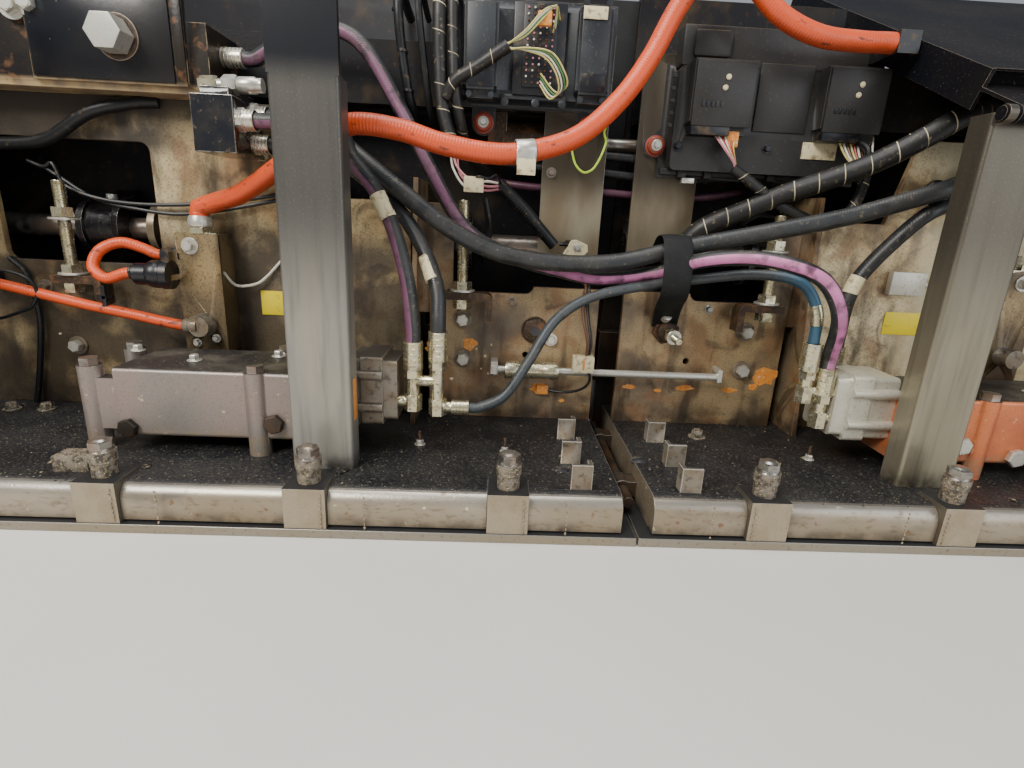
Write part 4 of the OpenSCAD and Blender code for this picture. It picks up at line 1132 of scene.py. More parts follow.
# Hoses: route in screed millimetres, diameter, finish, whether it crosses the joint
HOSES = {
    "conduit": ([
        (-640, 265, 376), (-640, 265, 388), (-612, 258, 398), (-565, 240, 412),
        (-490, 205, 452), (-430, 170, 484), (-380, 150, 500), (-320, 150, 496),
        (-270, 152, 483), (-205, 158, 475), (-155, 165, 480), (-90, 185, 505),
        (-35, 205, 555), (5, 225, 612), (40, 240, 680), (75, 246, 728), (112, 246, 738),
        (148, 242, 705), (182, 237, 675), (235, 234, 654), (300, 242, 652), (338, 250, 655),
        (350, 250, 655)], 27, orange_cover, True),
    "hose_main": ([
        (-522, 250, 515), (-508, 250, 515), (-445, 234, 508), (-395, 213, 472),
        (-330, 205, 425), (-260, 200, 377), (-190, 206, 347), (-105, 215, 336),
        (-15, 218, 341), (80, 213, 366), (185, 200, 391), (300, 186, 420), (410, 172, 458),
        (475, 196, 477), (526, 222, 480), (540, 222, 480)], 25, plain_hose, True),
    "hose_long": ([
        (-570, 300, 600), (-555, 300, 600), (-480, 290, 640), (-405, 282, 630),
        (-340, 270, 540), (-295, 252, 460), (-240, 238, 378), (-170, 244, 340),
        (-95, 240, 322), (-35, 236, 314), (40, 228, 326), (100, 186, 350), (155, 158, 358),
        (200, 130, 353), (240, 112, 335), (270, 112, 290), (290, 146, 225), (290, 146, 210)],
        21, long_striped_hose, True),
    "hose_short": ([
        (-522, 205, 505), (-508, 205, 505), (-415, 194, 505), (-390, 184, 462),
        (-360, 176, 425), (-335, 166, 378), (-314, 153, 310), (-305, 146, 240),
        (-305, 146, 225)], 21, short_striped_hose, False),
    "hose_return": ([
        (-522, 250, 480), (-508, 250, 480), (-450, 252, 478), (-385, 238, 440),
        (-330, 210, 395), (-294, 184, 345), (-273, 160, 295), (-270, 146, 255),
        (-270, 146, 240)], 21, plain_hose, False),
    "hose_cross": ([
        (-225, 146, 130), (-212, 146, 130), (-175, 150, 148), (-140, 162, 200),
        (-105, 182, 255), (-55, 200, 288), (20, 215, 306), (110, 212, 322), (190, 190, 334),
        (238, 160, 326), (260, 148, 290), (262, 146, 258), (262, 146, 245)], 15, blue_hose, True),
    "hose_drain": ([
        (330, 200, 232), (330, 200, 250), (332, 200, 300), (345, 200, 340), (385, 190, 400),
        (410, 180, 430), (470, 205, 447), (526, 222, 448), (540, 222, 448)], 21, plain_hose, False),
    "heat_cable": ([
        (-975, 250, 268), (-960, 250, 268), (-900, 250, 256), (-820, 246, 240),
        (-740, 238, 228), (-670, 234, 216), (-655, 234, 216)], 16, orange_cover, False),
    "heat_loop": ([
        (-722, 228, 292), (-738, 228, 292), (-768, 229, 283), (-790, 236, 297),
        (-784, 246, 321), (-757, 256, 334), (-728, 263, 326), (-710, 264, 318),
        (-696, 264, 318)], 16, orange_cover, False),
}


class SCREED_OT_hoses(bpy.types.Operator):
    """Hydraulic hoses and heating conduits on the routes of the frame"""
    bl_idname = "screed.hoses"
    bl_label = "Hoses and conduits"

    def execute(self, context):
        for name, (points, diameter, cover, crosses) in HOSES.items():
            piece = Piece(name + "_cover", body_of(name))
            piece.tube(points, diameter / 2, cover, sides=20, step=6.0)
            piece.finish(replaces=(name,), blend=crosses)
        return {"FINISHED"}


# Hose ends: the hose's end, the way into its fitting, its radius, the crimped sleeve's length
HOSE_ENDS = {
    "left_half": [
        ((-522, 250, 515), (-1, 0, 0), 12.5, 24), ((-522, 205, 505), (-1, 0, 0), 10.5, 24),
        ((-522, 250, 480), (-1, 0, 0), 10.5, 24), ((-570, 300, 600), (-1, 0, 0), 10.5, 28),
        ((-305, 146, 225), (0, 0, -1), 10.5, 40), ((-270, 146, 240), (0, 0, -1), 10.5, 42),
        ((-225, 146, 130), (-1, 0, 0), 7.5, 25)],
    "right_half": [
        ((540, 222, 480), (1, 0, 0), 12.5, 20), ((540, 222, 448), (1, 0, 0), 10.5, 20),
        ((290, 146, 210), (0, 0, -1), 10.5, 40), ((262, 146, 245), (0, 0, -1), 7.5, 40),
        ((330, 200, 232), (0, 0, -1), 10.5, 26)],
}


class SCREED_OT_hose_ends(bpy.types.Operator):
    """Crimped sleeves on the hose ends, and the glands of the heating conduits"""
    bl_idname = "screed.hose_ends"
    bl_label = "Hose ends and glands"

    def execute(self, context):
        for body, ends in HOSE_ENDS.items():
            piece = Piece("hose_sleeves_" + body, body)
            for at, way, radius, run in ends:
                r = radius + 3.4
                crimped = [(0.0, radius - 0.5), (0.0, r - 1.2), (1.5, r)]
                for i in range(4):
                    a = 3.5 + i * run * 0.19
                    b = a + run * 0.11
                    crimped += [(a, r), (a + 1, r - 0.9), (b, r - 0.9), (b + 1, r)]
                crimped += [(run - 1.5, r), (run, r - 1.5), (run, radius - 0.5)]
                piece.turned(at, way, crimped, yellow_zinc)
            piece.finish()

        left = Piece("cable_glands", "left_half")
        # Gland of the large conduit on the terminal box: hexagon, lock ring and dome
        left.hexagon((-640, 265, 352), UP, 33, 11, yellow_zinc)
        left.turned((-640, 265, 363), UP, [
            (0, 0), (0, 17.5), (4, 18.2), (9, 17.6), (15, 15.4), (15, 13.0), (13, 12.0),
            (13, 0)], zinc_plate)
        # Ringed gland of the supply cable, turned towards its cable
        left.turned((-640, 249, 216), (-0.2, -0.9, 0), [
            (0, 0), (0, 18), (5, 18), (5, 15.5), (8, 15.5), (8, 17.5), (13, 17.5), (13, 14.5),
            (16, 14.5), (16, 16.5), (21, 16.5), (21, 12), (23, 12), (23, 0)], cast_iron)
        left.turned((-649, 234, 216), (-1, 0.05, 0.02), [
            (-6, 0), (-6, 12.6), (2, 12.6), (3, 11), (6, 11), (7, 12), (13, 11.4), (17, 9.2),
            (17, 0)], cast_iron)
        # Plug of the heating loop: body with grip rings and a ribbed sleeve
        left.turned((-676, 230, 292), (-1, 0, 0.02), [
            (-4, 0), (-4, 21), (6, 21.5), (8, 19.5), (12, 19.5), (14, 20.5), (24, 20),
            (30, 16.5), (34, 13.5), (36, 12.4), (38, 13), (40, 12.2), (42, 12.8), (44, 11.8),
            (46, 12.3), (48, 11.2), (50, 11.8), (52, 10.6), (54, 11), (57, 8.5), (57, 0)],
            black_plastic)
        left.turned((-672, 264, 318), (-1, 0, 0), [
            (-2, 0), (-2, 15), (6, 15), (7, 12.6), (18, 12.2), (24, 10.4), (30, 9.4), (30, 0)],
            black_plastic)
        left.finish()
        return {"FINISHED"}


# Y of the housings' rear faces, where bolts have no washer
HOUSING_FACE = 110
# Bolts in the walls and the housings: the seat, width across flats, and the finish
BOLTS = [
    ((-245, 300, 232), 19, zinc_plate), ((-243, 300, 165), 19, zinc_plate),
    ((-878, 300, 162), 18, zinc_plate), ((-913, 300, 257), 13, cast_iron),
    ((-165, 300, 265), 9, bright_steel), ((165, 300, 265), 9, bright_steel),
    ((232, 300, 230), 19, zinc_plate), ((236, 300, 163), 19, zinc_plate),
    ((-96, 300, 203), 13, zinc_plate), ((-110, 334, 469), 10, bright_steel),
    ((-688, 110, 96), 24, tamper_steel), ((-490, 110, 109), 24, tamper_steel),
    ((570, 110, 96), 24, zinc_plate), ((688, 110, 96), 24, zinc_plate),
    ((485, 110, 112), 24, zinc_plate), ((-652, 250, 334), 15, zinc_plate),
    ((-627, 250, 194), 8, zinc_plate), ((-657, 250, 186), 8, zinc_plate),
    ((640, 250, 334), 15, zinc_plate), ((79, 300, 514), 9, black_plastic),
    ((218, 300, 517), 9, black_plastic), ((-232, 300, 690), 9, zinc_plate),
    ((544, 300, 250), 13, cast_iron),
]
# Nuts that stand upright: the foot, width across flats, whether a stud shows above
STUDS = [
    ((-724, 208, 180), 12, False), ((-618, 163, 180), 12, False),
    ((-515, 205, 180), 12, False), ((618, 163, 180), 12, False), ((-298, 165, 62), 10, True),
    ((-170, 149, 62), 9, True), ((150, 234, 62), 17, False), ((297, 157, 62), 10, True),
    ((-968, 254, 62), 15, False), ((-917, 259, 62), 15, False),
]


class SCREED_OT_fasteners(bpy.types.Operator):
    """Bolts, studs and nuts of the walls, the housings and the base sheets"""
    bl_idname = "screed.fasteners"
    bl_label = "Fasteners"

    def execute(self, context):
        left, right = Piece("fasteners_left", "left_half"), Piece("fasteners_right", "right_half")
        for at, flats, maker in BOLTS:
            piece = left if at[0] < 0 else right
            if at[1] == HOUSING_FACE:
                piece.hexagon(at, REAR, flats, 9, maker)
            else:
                piece.bolt(at, REAR, flats, maker, cast_iron if flats > 16 else None)
        for at, flats, stud in STUDS:
            piece = left if at[0] < 0 else right
            piece.bolt(at, UP, flats, zinc_plate if flats < 14 else crusted_sleeve)
            if stud:
                top = at[2] + flats * 0.7
                piece.thread((at[0], at[1], top), (at[0], at[1], top + 15), flats * 0.3, 1.5,
                             rusty_iron)
        # Welded nuts of the inner walls; a long stud with a lock nut stands in the right one
        left.washer((-124, 300, 218), REAR, 23, 9, 1.5, rusty_iron)
        left.hexagon((-124, 298.5, 218), REAR, 38, 8, rusty_iron)
        left.turned((-124, 290.4, 218), REAR, [(0, 0), (0, 8), (0.3, 8), (0.3, 0)], oily_black)
        right.hexagon((95, 300, 227), REAR, 40, 9, rusty_iron)
        right.turned((95, 291, 227), REAR, [(0, 0), (0, 16), (3, 17), (8, 16), (11, 12), (11, 0)],
                     rusty_iron)
        right.thread((95, 282, 227), (99, 232, 221), 6, 2.0, yellow_zinc)
        right.hexagon((96, 268, 225.5), (0.08, -1, -0.12), 21, 11, yellow_zinc)
        right.washer((97, 256, 224), (0.08, -1, -0.12), 12, 5, 3, zinc_plate)
        # Nuts where the black lines and hoses meet the beam's bracket
        left.hexagon((-546, 250, 480), (1, 0, 0), 25, 11, zinc_plate)
        left.hexagon((-546, 250, 515), (1, 0, 0), 33, 11, zinc_plate)
        left.hexagon((-546, 205, 505), (1, 0, 0), 27, 11, zinc_plate)
        left.hexagon((-606, 238, 551), (1, 0, 0.05), 21, 24, yellow_zinc)
        left.turned((-582, 238, 552), (1, 0, 0.05), [(0, 0), (0, 8), (8, 8), (8, 0)], zinc_plate)
        left.hexagon((-574, 238, 552), (1, 0, 0.05), 24, 18, zinc_plate)
        left.turned((-556, 238, 553), (1, 0, 0.03), [
            (0, 0), (0, 9), (3, 11), (24, 11), (26, 9.5), (34, 9.5), (34, 0)], zinc_plate)
        left.hexagon((-551, 292, 466), (0, -0.7, 0.7), 16, 14, zinc_plate)
        for x, z in ((-826, 640), (-850, 636)):
            left.bolt((x, 250, z), (0.1, -1, 0), 20, zinc_plate, None, 12)
        left.finish()
        right.finish()
        return {"FINISHED"}


class SCREED_OT_adjusters(bpy.types.Operator):
    """Threads of the adjusters, and the ends of the zinc rod across the joint"""
    bl_idname = "screed.adjusters"
    bl_label = "Adjusters and rod"

    def execute(self, context):
        for body, piece in halves("threads_").items():
            for x in (HALVES[body] * 245, HALVES[body] * 845):
                for low, high in ((270, 282), (300, 362), (383, 419)):
                    piece.thread((x, 270, low), (x, 270, high), 8.8, 2.2, yellow_zinc)
                for z in (281.5, 363):
                    piece.washer((x, 270, z), UP, 19.5, 8.4, 3, zinc_plate)
            piece.finish()
        rod = Piece("rod_block", "left_half")
        rod.hexagon((-196, 275, 155), (1, 0, 0), 22, 10, zinc_plate)
        rod.turned((-172, 275, 155), (1, 0, 0), [
            (0, 5), (0, 14.4), (2, 15), (20, 15), (22, 14.2), (66, 14.2), (68, 15), (86, 15),
            (88, 14.4), (88, 11), (84, 11), (84, 13), (4, 13), (4, 5), (0, 5)], yellow_zinc)
        rod.finish()
        # Cream plug block that hangs at the rod, on its thin cable
        plug = Piece("cream_plug", "left_half")
        plug.block((-62, 256, 158), (-27, 272, 186), cream_label, 2.0)
        plug.block((-46, 255, 164), (-43, 257, 183), chip_paint, 0.4)
        plug.tube([
            (-40, 264, 184), (-39, 266, 205), (-46, 280, 240), (-48, 292, 268),
            (-44, 300, 292), (-50, 330, 306)], 2.6, wire("brown"), 8, 5)
        plug.tube([
            (-36, 268, 186), (-33, 270, 205), (-38, 284, 240), (-40, 296, 268),
            (-38, 304, 292), (-46, 334, 310)], 2.6, wire("black"), 8, 5)
        plug.tube([
            (-34, 264, 160), (-31, 264, 146), (-38, 270, 130), (-62, 280, 118),
            (-92, 292, 116), (-108, 299, 120)], 2.4, wire("black"), 8, 5)
        plug.block((-116, 292, 108), (-96, 300, 124), chip_paint, 1.5)
        plug.finish()
        return {"FINISHED"}


# Looms, cables and wires of each half: the colour (none for a taped loom), the radius, the route
WIRING = {
    "left_half": [
        (None, 10, [
            (-286, 424, 705), (-286, 360, 716), (-286, 300, 704), (-286, 285, 670),
            (-285, 285, 610), (-279, 284, 540), (-262, 280, 488)]),
        (None, 8, [
            (-258, 424, 700), (-261, 350, 714), (-267, 292, 702), (-266, 282, 640),
            (-262, 280, 571), (-252, 300, 520), (-248, 360, 500), (-248, 424, 496)]),
        (None, 9, [
            (-276, 280, 560), (-262, 274, 582), (-234, 272, 599), (-205, 270, 618),
            (-188, 270, 629)]),
        ("black", 7, [
            (-347, 424, 700), (-348, 340, 706), (-347, 300, 686), (-342, 300, 623),
            (-331, 306, 558), (-322, 350, 530), (-322, 424, 520)]),
        ("black", 5, [
            (-318, 424, 700), (-318, 340, 708), (-318, 300, 688), (-310, 300, 612),
            (-301, 308, 546), (-296, 350, 520), (-296, 424, 512)]),
        ("black", 9, [
            (-1040, 299, 470), (-1010, 288, 467), (-932, 288, 467), (-864, 288, 476),
            (-791, 282, 515), (-730, 290, 532), (-700, 299, 536)]),
        ("black", 3, [
            (-905, 299, 446), (-880, 296, 438), (-868, 296, 444), (-850, 292, 412),
            (-774, 290, 392), (-649, 290, 395), (-532, 290, 414), (-505, 290, 428),
            (-480, 296, 440), (-470, 330, 445), (-466, 424, 450)]),
        ("black", 3, [
            (-880, 299, 436), (-862, 296, 426), (-812, 295, 396), (-756, 293, 384),
            (-675, 292, 379), (-533, 292, 406), (-500, 300, 420), (-490, 330, 425),
            (-488, 424, 430)]),
        ("black", 2.5, [
            (-975, 246, 286), (-953, 242, 289), (-900, 243, 280), (-885, 244, 259),
            (-895, 244, 235), (-915, 246, 225), (-953, 252, 212), (-976, 254, 210)]),
        ("black", 4.5, [
            (-960, 299, 300), (-936, 293, 280), (-925, 290, 240), (-925, 290, 200),
            (-938, 292, 140), (-950, 292, 90), (-956, 290, 64)]),
        ("white", 2.2, [
            (-612, 262, 296), (-603, 278, 275), (-585, 284, 274), (-567, 292, 281),
            (-532, 298, 318)]),
        ("lime", 1.8, [
            (-26, 333, 545), (-31, 330, 533), (-29, 318, 515), (-45, 312, 478),
            (-60, 312, 470), (-73, 316, 480), (-79, 326, 498), (-80, 333, 508)]),
        ("pink", 1.8, [
            (-264, 282, 490), (-258, 270, 468), (-240, 254, 450), (-216, 256, 440),
            (-192, 288, 442)]),
        ("pink", 1.8, [
            (-258, 284, 492), (-254, 274, 460), (-238, 256, 442), (-216, 258, 434),
            (-192, 288, 438)]),
        ("white", 1.8, [
            (-268, 284, 490), (-262, 272, 462), (-240, 256, 436), (-216, 260, 446),
            (-192, 288, 446)]),
        ("black", 1.8, [
            (-232, 252, 450), (-222, 246, 452), (-208, 250, 450), (-198, 262, 456),
            (-190, 286, 444)]),
        ("black", 9, [
            (-194, 291, 447), (-172, 290, 428), (-151, 290, 409), (-126, 290, 382),
            (-102, 290, 357)]),
        ("black", 3, [(-94, 288, 360), (-84, 286, 360), (-72, 300, 356), (-70, 333, 352)]),
        ("black", 5, [(-214, 300, 424), (-206, 308, 380), (-214, 330, 330), (-216, 424, 322)]),
        ("brown", 4, [(-520, 298, 250), (-505, 294, 256), (-487, 298, 262)]),
    ],
    "right_half": [
        (None, 15, [
            (570, 345, 592), (562, 318, 590), (530, 270, 582), (485, 230, 570),
            (436, 200, 557), (393, 208, 527), (342, 230, 494), (290, 252, 470),
            (245, 270, 451), (186, 283, 422), (138, 290, 399), (114, 300, 376),
            (100, 312, 345), (96, 326, 312), (96, 352, 284), (96, 424, 270)]),
        (None, 8, [
            (162, 280, 484), (184, 277, 470), (207, 275, 455), (245, 272, 432),
            (282, 270, 417), (310, 271, 406), (335, 268, 416), (352, 264, 440),
            (358, 262, 470), (354, 258, 500)]),
        ("black", 5, [(346, 290, 534), (352, 262, 520), (352, 256, 502), (348, 258, 470)]),
        ("black", 4, [
            (268, 326, 404), (255, 318, 416), (225, 310, 418), (205, 312, 405),
            (200, 340, 390), (200, 424, 380)]),
    ],
}
# Wires of the right unit's inner and outer plug: colour, and the X at which each leaves it
INNER_PLUG = (
    ("pink", 126), ("white", 131), ("red", 136), ("white", 141), ("orange", 147),
    ("red", 152), ("yellow", 157),
)
OUTER_PLUG = (
    ("yellow", 320), ("white", 326), ("brown", 331), ("yellow", 337), ("red", 342),
    ("white", 348), ("brown", 354), ("yellow", 360), ("pink", 366), ("white", 372),
)


class SCREED_OT_looms(bpy.types.Operator):
    """Taped looms, cables and single wires"""
    bl_idname = "screed.looms"
    bl_label = "Looms and wires"

    def execute(self, context):
        left, right = halves("wiring_").values()
        for piece in (left, right):
            for colour, radius, points in WIRING[piece.body]:
                cover = wire(colour) if colour else loom_tape
                piece.tube(points, radius, cover, 14 if radius > 6 else 8, max(4.0, radius * 0.8))
        # Yellow wires that fan out of the left unit's loom to its socket and back
        for k in range(4):
            left.tube([(-192, 270, 631 - k), (-165, 262 - k, 640 + 2 * k), (-140, 262, 664 + 3 * k),
                       (-122, 276, 684 - k), (-115 - 3 * k, 290, 671 - 6 * k)],
                      1.3, wire(("yellow", "green", "white", "yellow")[k]), 6, 5)
            left.tube([
                (-190, 270, 627 - k), (-160, 262 - k, 622 + k),
                (-135 + 3 * k, 260 - k, 614 + 2 * k), (-118 + 4 * k, 260, 594 + k),
                (-113 + 4 * k, 266, 573 + 3 * k), (-124 + 3 * k, 276, 565 + 3 * k),
                (-139, 290, 586 + 5 * k)],
                1.3, wire(("yellow", "white", "green", "yellow")[k]), 6, 5)
        left.block((-148, 264, 655), (-128, 272, 674), chip_paint, 2.0)
        # Ribs of the corrugated conduit, and its clip on the flat bar
        way = Vector((92, -1, -90)).normalized()
        for k in range(26):
            left.turned(Vector((-192, 291, 445)) + way * (4 * k + 2), way, [
                (0, 8.6), (0.5, 10.2), (2, 10.2), (2.5, 8.6)], wire("black"), 12)
        left.slab([(-18, -10), (14, -13), (22, -4), (20, 6), (2, 13), (-6, 12)], (-70, 288, 355),
                  REAR, 3, cream_label, 0.6, UP)
        left.bolt((-66, 285, 356), REAR, 7, zinc_plate)
        left.block((-80, 288, 346), (-60, 334, 366), black_plastic, 2.0)
        # Loose ends of the ties round the cables
        for k, x in enumerate((-348, -341, -333)):
            left.washer((x, 300, 672 - 52 * k), (0.1, 0, 1), 8.2, 6.6, 4, black_plastic, 12)
        first, last = INNER_PLUG[0][1], INNER_PLUG[-1][1]
        for colour, x in INNER_PLUG:
            k = (x - first) / (last - first)
            right.tube([
                (x, 286, 540), (x + 2, 284, 532), (x * 0.55 + 71, 272 + 6 * k, 512),
                (162 + 3 * k, 277 + 3 * k, 490), (166, 280, 480)], 1.6, wire(colour), 6, 5)
        first, last = OUTER_PLUG[0][1], OUTER_PLUG[-1][1]
        for colour, x in OUTER_PLUG:
            k = (x - first) / (last - first)
            right.tube([
                (x, 286, 540), (x + 1, 284, 530), (330 + 40 * k, 274, 508),
                (344 + 22 * k, 262, 488), (350 + 8 * k, 262, 470)], 1.6, wire(colour), 6, 5)
        right.block((146, 279, 514), (164, 284, 536), chip_paint, 1.0)
        left.finish()
        right.finish()

        # Cables that run across the joint behind the flat bars
        for name, colour, radius, low, high in (
                ("gap_cable_top", "black", 7, 501, 496), ("gap_cable_low", "black", 7, 477, 467),
                ("gap_cable_plum", "plum", 6, 446, 440)):
            cable = Piece(name, "left_half")
            cable.tube([
                (-212, 424, low + 12), (-208, 390, low + 10), (-190, 366, low + 6),
                (-140, 352, low + 1), (-80, 349, low), (0, 349, (low + high) / 2),
                (80, 349, high), (150, 352, high + 4), (205, 366, high + 14),
                (224, 390, high + 18), (228, 424, high + 20)], radius, wire(colour), 12, 8)
            cable.finish(blend=True)

        # Rubber apron that closes the joint between the front walls
        apron = Piece("joint_apron", "left_half")
        apron.block((-46, 438.5, 96), (46, 443, 750), strap_rubber, 1.0)
        apron.finish(blend=True)

        # Rubber strap round the three hoses, on its bracket
        strap = Piece("hose_strap", "right_half")
        strap.tube([
            (64, 299, 345), (65, 270, 352), (66, 248, 368), (66, 234, 379), (66, 213, 382),
            (66, 197, 376), (67, 188, 352), (69, 188, 318), (71, 200, 296), (76, 228, 282),
            (82, 255, 268), (88, 280, 252), (92, 296, 236)],
            21, strap_rubber, 16, 7, 0.11, (1, 0, 0))
        strap.turned((88, 279, 252), (0.1, -0.75, 0.6), [(-4, 0), (-4, 8), (6, 8), (7, 6), (7, 0)],
                     zinc_plate)
        strap.finish()
        return {"FINISHED"}


class SCREED_OT_units(bpy.types.Operator):
    """Covers, plugs, sockets and rubber mounts of the two control units"""
    bl_idname = "screed.units"
    bl_label = "Control units"

    def execute(self, context):
        shell, dark = moulded_plastic, black_plastic
        left = Piece("unit_parts_left", "left_half")
        right = Piece("unit_parts_right", "right_half")
        # Rubber rings with their screws under the lugs
        for piece, x, z in ((left, -58, 538), (left, -221, 536), (right, 51, 516)):
            piece.turned((x, 328, z), REAR, [
                (0, 0), (0, 15), (1, 16), (3, 16), (4, 13.5), (9, 13), (11, 11), (11, 0)],
                red_rubber)
            piece.bolt((x, 317, z), REAR, 10, zinc_plate)
        # Left unit: cover plates on its plugs, socket with its rows of pins between them
        for x in (-245, -83):
            left.block((x - 1, 271, 572), (x + 39, 274.6, 682), shell, 1.0)
            left.block((x + 1, 269.5, 576), (x + 37, 271.2, 600), dark, 0.6)
            for z in (566, 690):
                for screw in (x + 3, x + 35):
                    left.turned((screw, 274.4, z), REAR, [
                        (0, 0), (0, 4.5), (2, 4.5), (2, 0)], shell, 12)
        left.block((-180, 292, 572), (-104, 300.5, 692), dark, 1.5)
        left.block((-166, 289, 582), (-118, 292.4, 688), dark, 1.0)
        for row in range(13):
            for column in range(5):
                colour = ("brown", "pink", "brown", "white", "pink")[(row * 3 + column * 2) % 5]
                left.turned((-160 + column * 9, 289.2, 588 + row * 8), REAR,
                            [(0, 0), (0, 1.7), (2, 1.4), (2, 0)], wire(colour), 6)
        left.block((-196, 296, 566), (-98, 300.4, 573), shell, 1.0)
        for x in (-190, -144, -104):
            left.turned((x, 299, 562), REAR, [(0, 0), (0, 6), (4, 6), (5, 4), (5, 0)], shell)
        left.block((-84, 268.9, 668), (-50, 269.6, 684), cream_label, 0.2)
        # Right unit: stepped cap, raised plugs with latches, screws and locating pegs
        right.block((70, 300, 626), (360, 333, 680), shell, 3.0)
        right.block((84, 290, 636), (140, 301, 672), shell, 5.0)
        right.block((190, 297, 540), (272, 301, 634), shell, 2.0)
        for low, high in ((86, 174), (284, 372)):
            right.block((low, 270.5, 540), (high, 274.6, 628), shell, 1.5)
            right.block((low + 2, 272, 528), (low + 60, 296, 541), dark, 1.5)
            for k in range(5):
                right.block((low + 12 + 7 * k, 269.4, 566), (low + 16 + 7 * k, 270.8, 574), dark,
                            0.4)
            for x, z in ((low + 44, 592), (low + 47, 606)):
                right.turned((x, 270.6, z), REAR, [(0, 0), (0, 4), (1.5, 4), (3, 2.6), (3, 0)],
                             cream_label, 12)
        right.block((273, 297.6, 505), (327, 299.9, 529), cream_label, 0.4)
        right.block((62, 320, 474), (300, 328, 484), shell, 2.0)
        for x in (88, 130, 232, 290):
            right.block((x, 312, 470), (x + 14, 326, 482), shell, 2.0)
        right.block((96, 312, 462), (116, 322, 470), zinc_plate, 1.0)
        # Ribs down the unit's left edge
        for z in range(540, 625, 17):
            right.block((59, 297, z), (66, 301, z + 5), shell, 0.8)
        left.finish()
        right.finish()
        return {"FINISHED"}


# Blank plates, tags and small blocks: low and high corner, finish
PLATES = [
    ((-573, 298.6, 226), (-529, 299.9, 265), yellow_plate),
    ((466, 298.6, 236), (538, 299.9, 274), yellow_plate),
    ((-171, 146.5, 450), (-147, 149, 470), cream_label),
    ((-245, 247, 430), (-216, 258, 452), cream_label),
    ((-832, 244.8, 553), (-644, 247.3, 675), gloss_enamel),
    ((-640, 244.2, 549), (-627, 247.3, 676), beam_paint),
    ((456, 288, 304), (514, 299.9, 341), cast_alloy),
    ((-743, 38, 61), (-699, 67, 82), crusted_sleeve),
    ((-785, 236, 237), (-779, 246, 271), black_plastic),
    ((-373.9, 82, 128), (-373.2, 97, 184), chip_paint),
]
# Label sleeves on hoses: the line along the hose, the sleeve's radius, and its finish
SLEEVES = [
    ([(-356, 174, 418), (-348, 171, 403), (-340, 168, 388)], 11.4, cream_label),
    ([(-291, 181.5, 338), (-285, 173, 322), (-279, 166, 308)], 11.4, cream_label),
    ([(334, 200, 312), (337, 200, 324), (342, 200, 336)], 11.4, cream_label),
    ([(257, 150, 298), (260.4, 147.6, 285), (261.6, 146.3, 270)], 8.4, yellow_zinc),
]
# Patches of old paint on the walls: place, width, height, 1 for orange or 0 for cream
CHIPS = [
    ((-288, 300, 192), 20, 20, 1), ((-300, 300, 178), 9, 6, 1), ((-233, 300, 190), 15, 14, 1),
    ((-112, 300, 116), 18, 12, 1), ((-206, 300, 170), 3, 3, 0), ((-212, 300, 148), 2.5, 2, 0),
    ((-200, 300, 140), 2, 2.5, 0), ((-221, 300, 182), 2, 2, 0), ((-262, 300, 128), 4, 3, 0),
    ((-196, 300, 190), 2, 3, 0), ((280, 300, 154), 26, 22, 1), ((262, 300, 134), 10, 7, 1),
    ((45, 300, 126), 14, 6, 1), ((142, 300, 127), 20, 6, 1), ((221, 300, 126), 17, 6, 1),
    ((96, 300, 121), 8, 4, 1), ((-70, 300, 96), 6, 4, 1), ((-860, 300, 120), 3, 3, 0),
    ((-905, 300, 180), 3, 2, 0), ((-520, 300, 150), 3, 3, 0), ((420, 300, 200), 3, 3, 0),
    ((520, 300, 170), 4, 3, 0), ((930, 300, 210), 4, 3, 0),
]


class SCREED_OT_labels(bpy.types.Operator):
    """Blank plates, tags and sleeves, and patches of old paint"""
    bl_idname = "screed.labels"
    bl_label = "Plates and old paint"

    def execute(self, context):
        rng = random.Random(11)
        left, right = Piece("plates_left", "left_half"), Piece("plates_right", "right_half")
        for low, high, maker in PLATES:
            piece = left if low[0] < 0 else right
            piece.block(low, high, maker, min(0.4, (high[1] - low[1]) * 0.3))
        for points, radius, maker in SLEEVES:
            piece = left if points[0][0] < 0 else right
            piece.tube(points, radius, maker, 20, 6)
        for at, width, height, orange in CHIPS:
            piece = left if at[0] < 0 else right
            piece.flake(at, width, height, chip_paint if orange else cream_label, rng)
        left.turned((-173, 162.3, 478.3), (1, 0.14, 0.1), [
            (0, 13.6), (0, 15.2), (1, 15.8), (24, 15.8), (25, 15.2), (25, 13.6)], zinc_plate)
        left.block((-172, 147.5, 462), (-148, 149.5, 481), zinc_plate, 0.8)
        left.block((-792, 236, 250), (-778, 249, 256), black_plastic, 0.8)
        right.tube([(514, 294, 322), (530, 290, 322), (548, 292, 330), (560, 299, 338)], 4,
                   wire("white"), 10, 5)
        right.turned((420, 196, 458), (0, -1, -0.15), [
            (0, 0), (0, 17), (4, 17), (6, 14), (14, 14), (14, 9), (8, 9), (8, 0)], black_plastic)
        left.finish()
        right.finish()
        return {"FINISHED"}


# Each base sheet: the height of its top, and the low and high X and Y where grains may lie
SHEET_TOP, SHEET = 62, ((20, 1200), (12, 294))
# What stands on a sheet: low and high X, low and high Y
STANDING = ((470, 770, 95, 268), (370, 458, 66, 112))
GRAINS = 300
# Clamp blocks of a half: how many, the first one's distance from the joint, the distance from
# block to block, and from a block's middle to its welds
CLAMPS, FIRST_CLAMP, CLAMP_STEP, WELD = 5, 120, 252, 27
# Crusts of dried mix: X and Y of the middle, radius
CRUSTS = {
    "left": (
        (-755, 65, 14), (-972, 274, 12), (-821, 285, 15), (-392, 66, 14), (-93, 90, 13),
        (-640, 60, 9)),
    "right": ((30, 133, 14), (180, 62, 9), (640, 60, 18), (520, 40, 10), (900, 240, 16)),
}


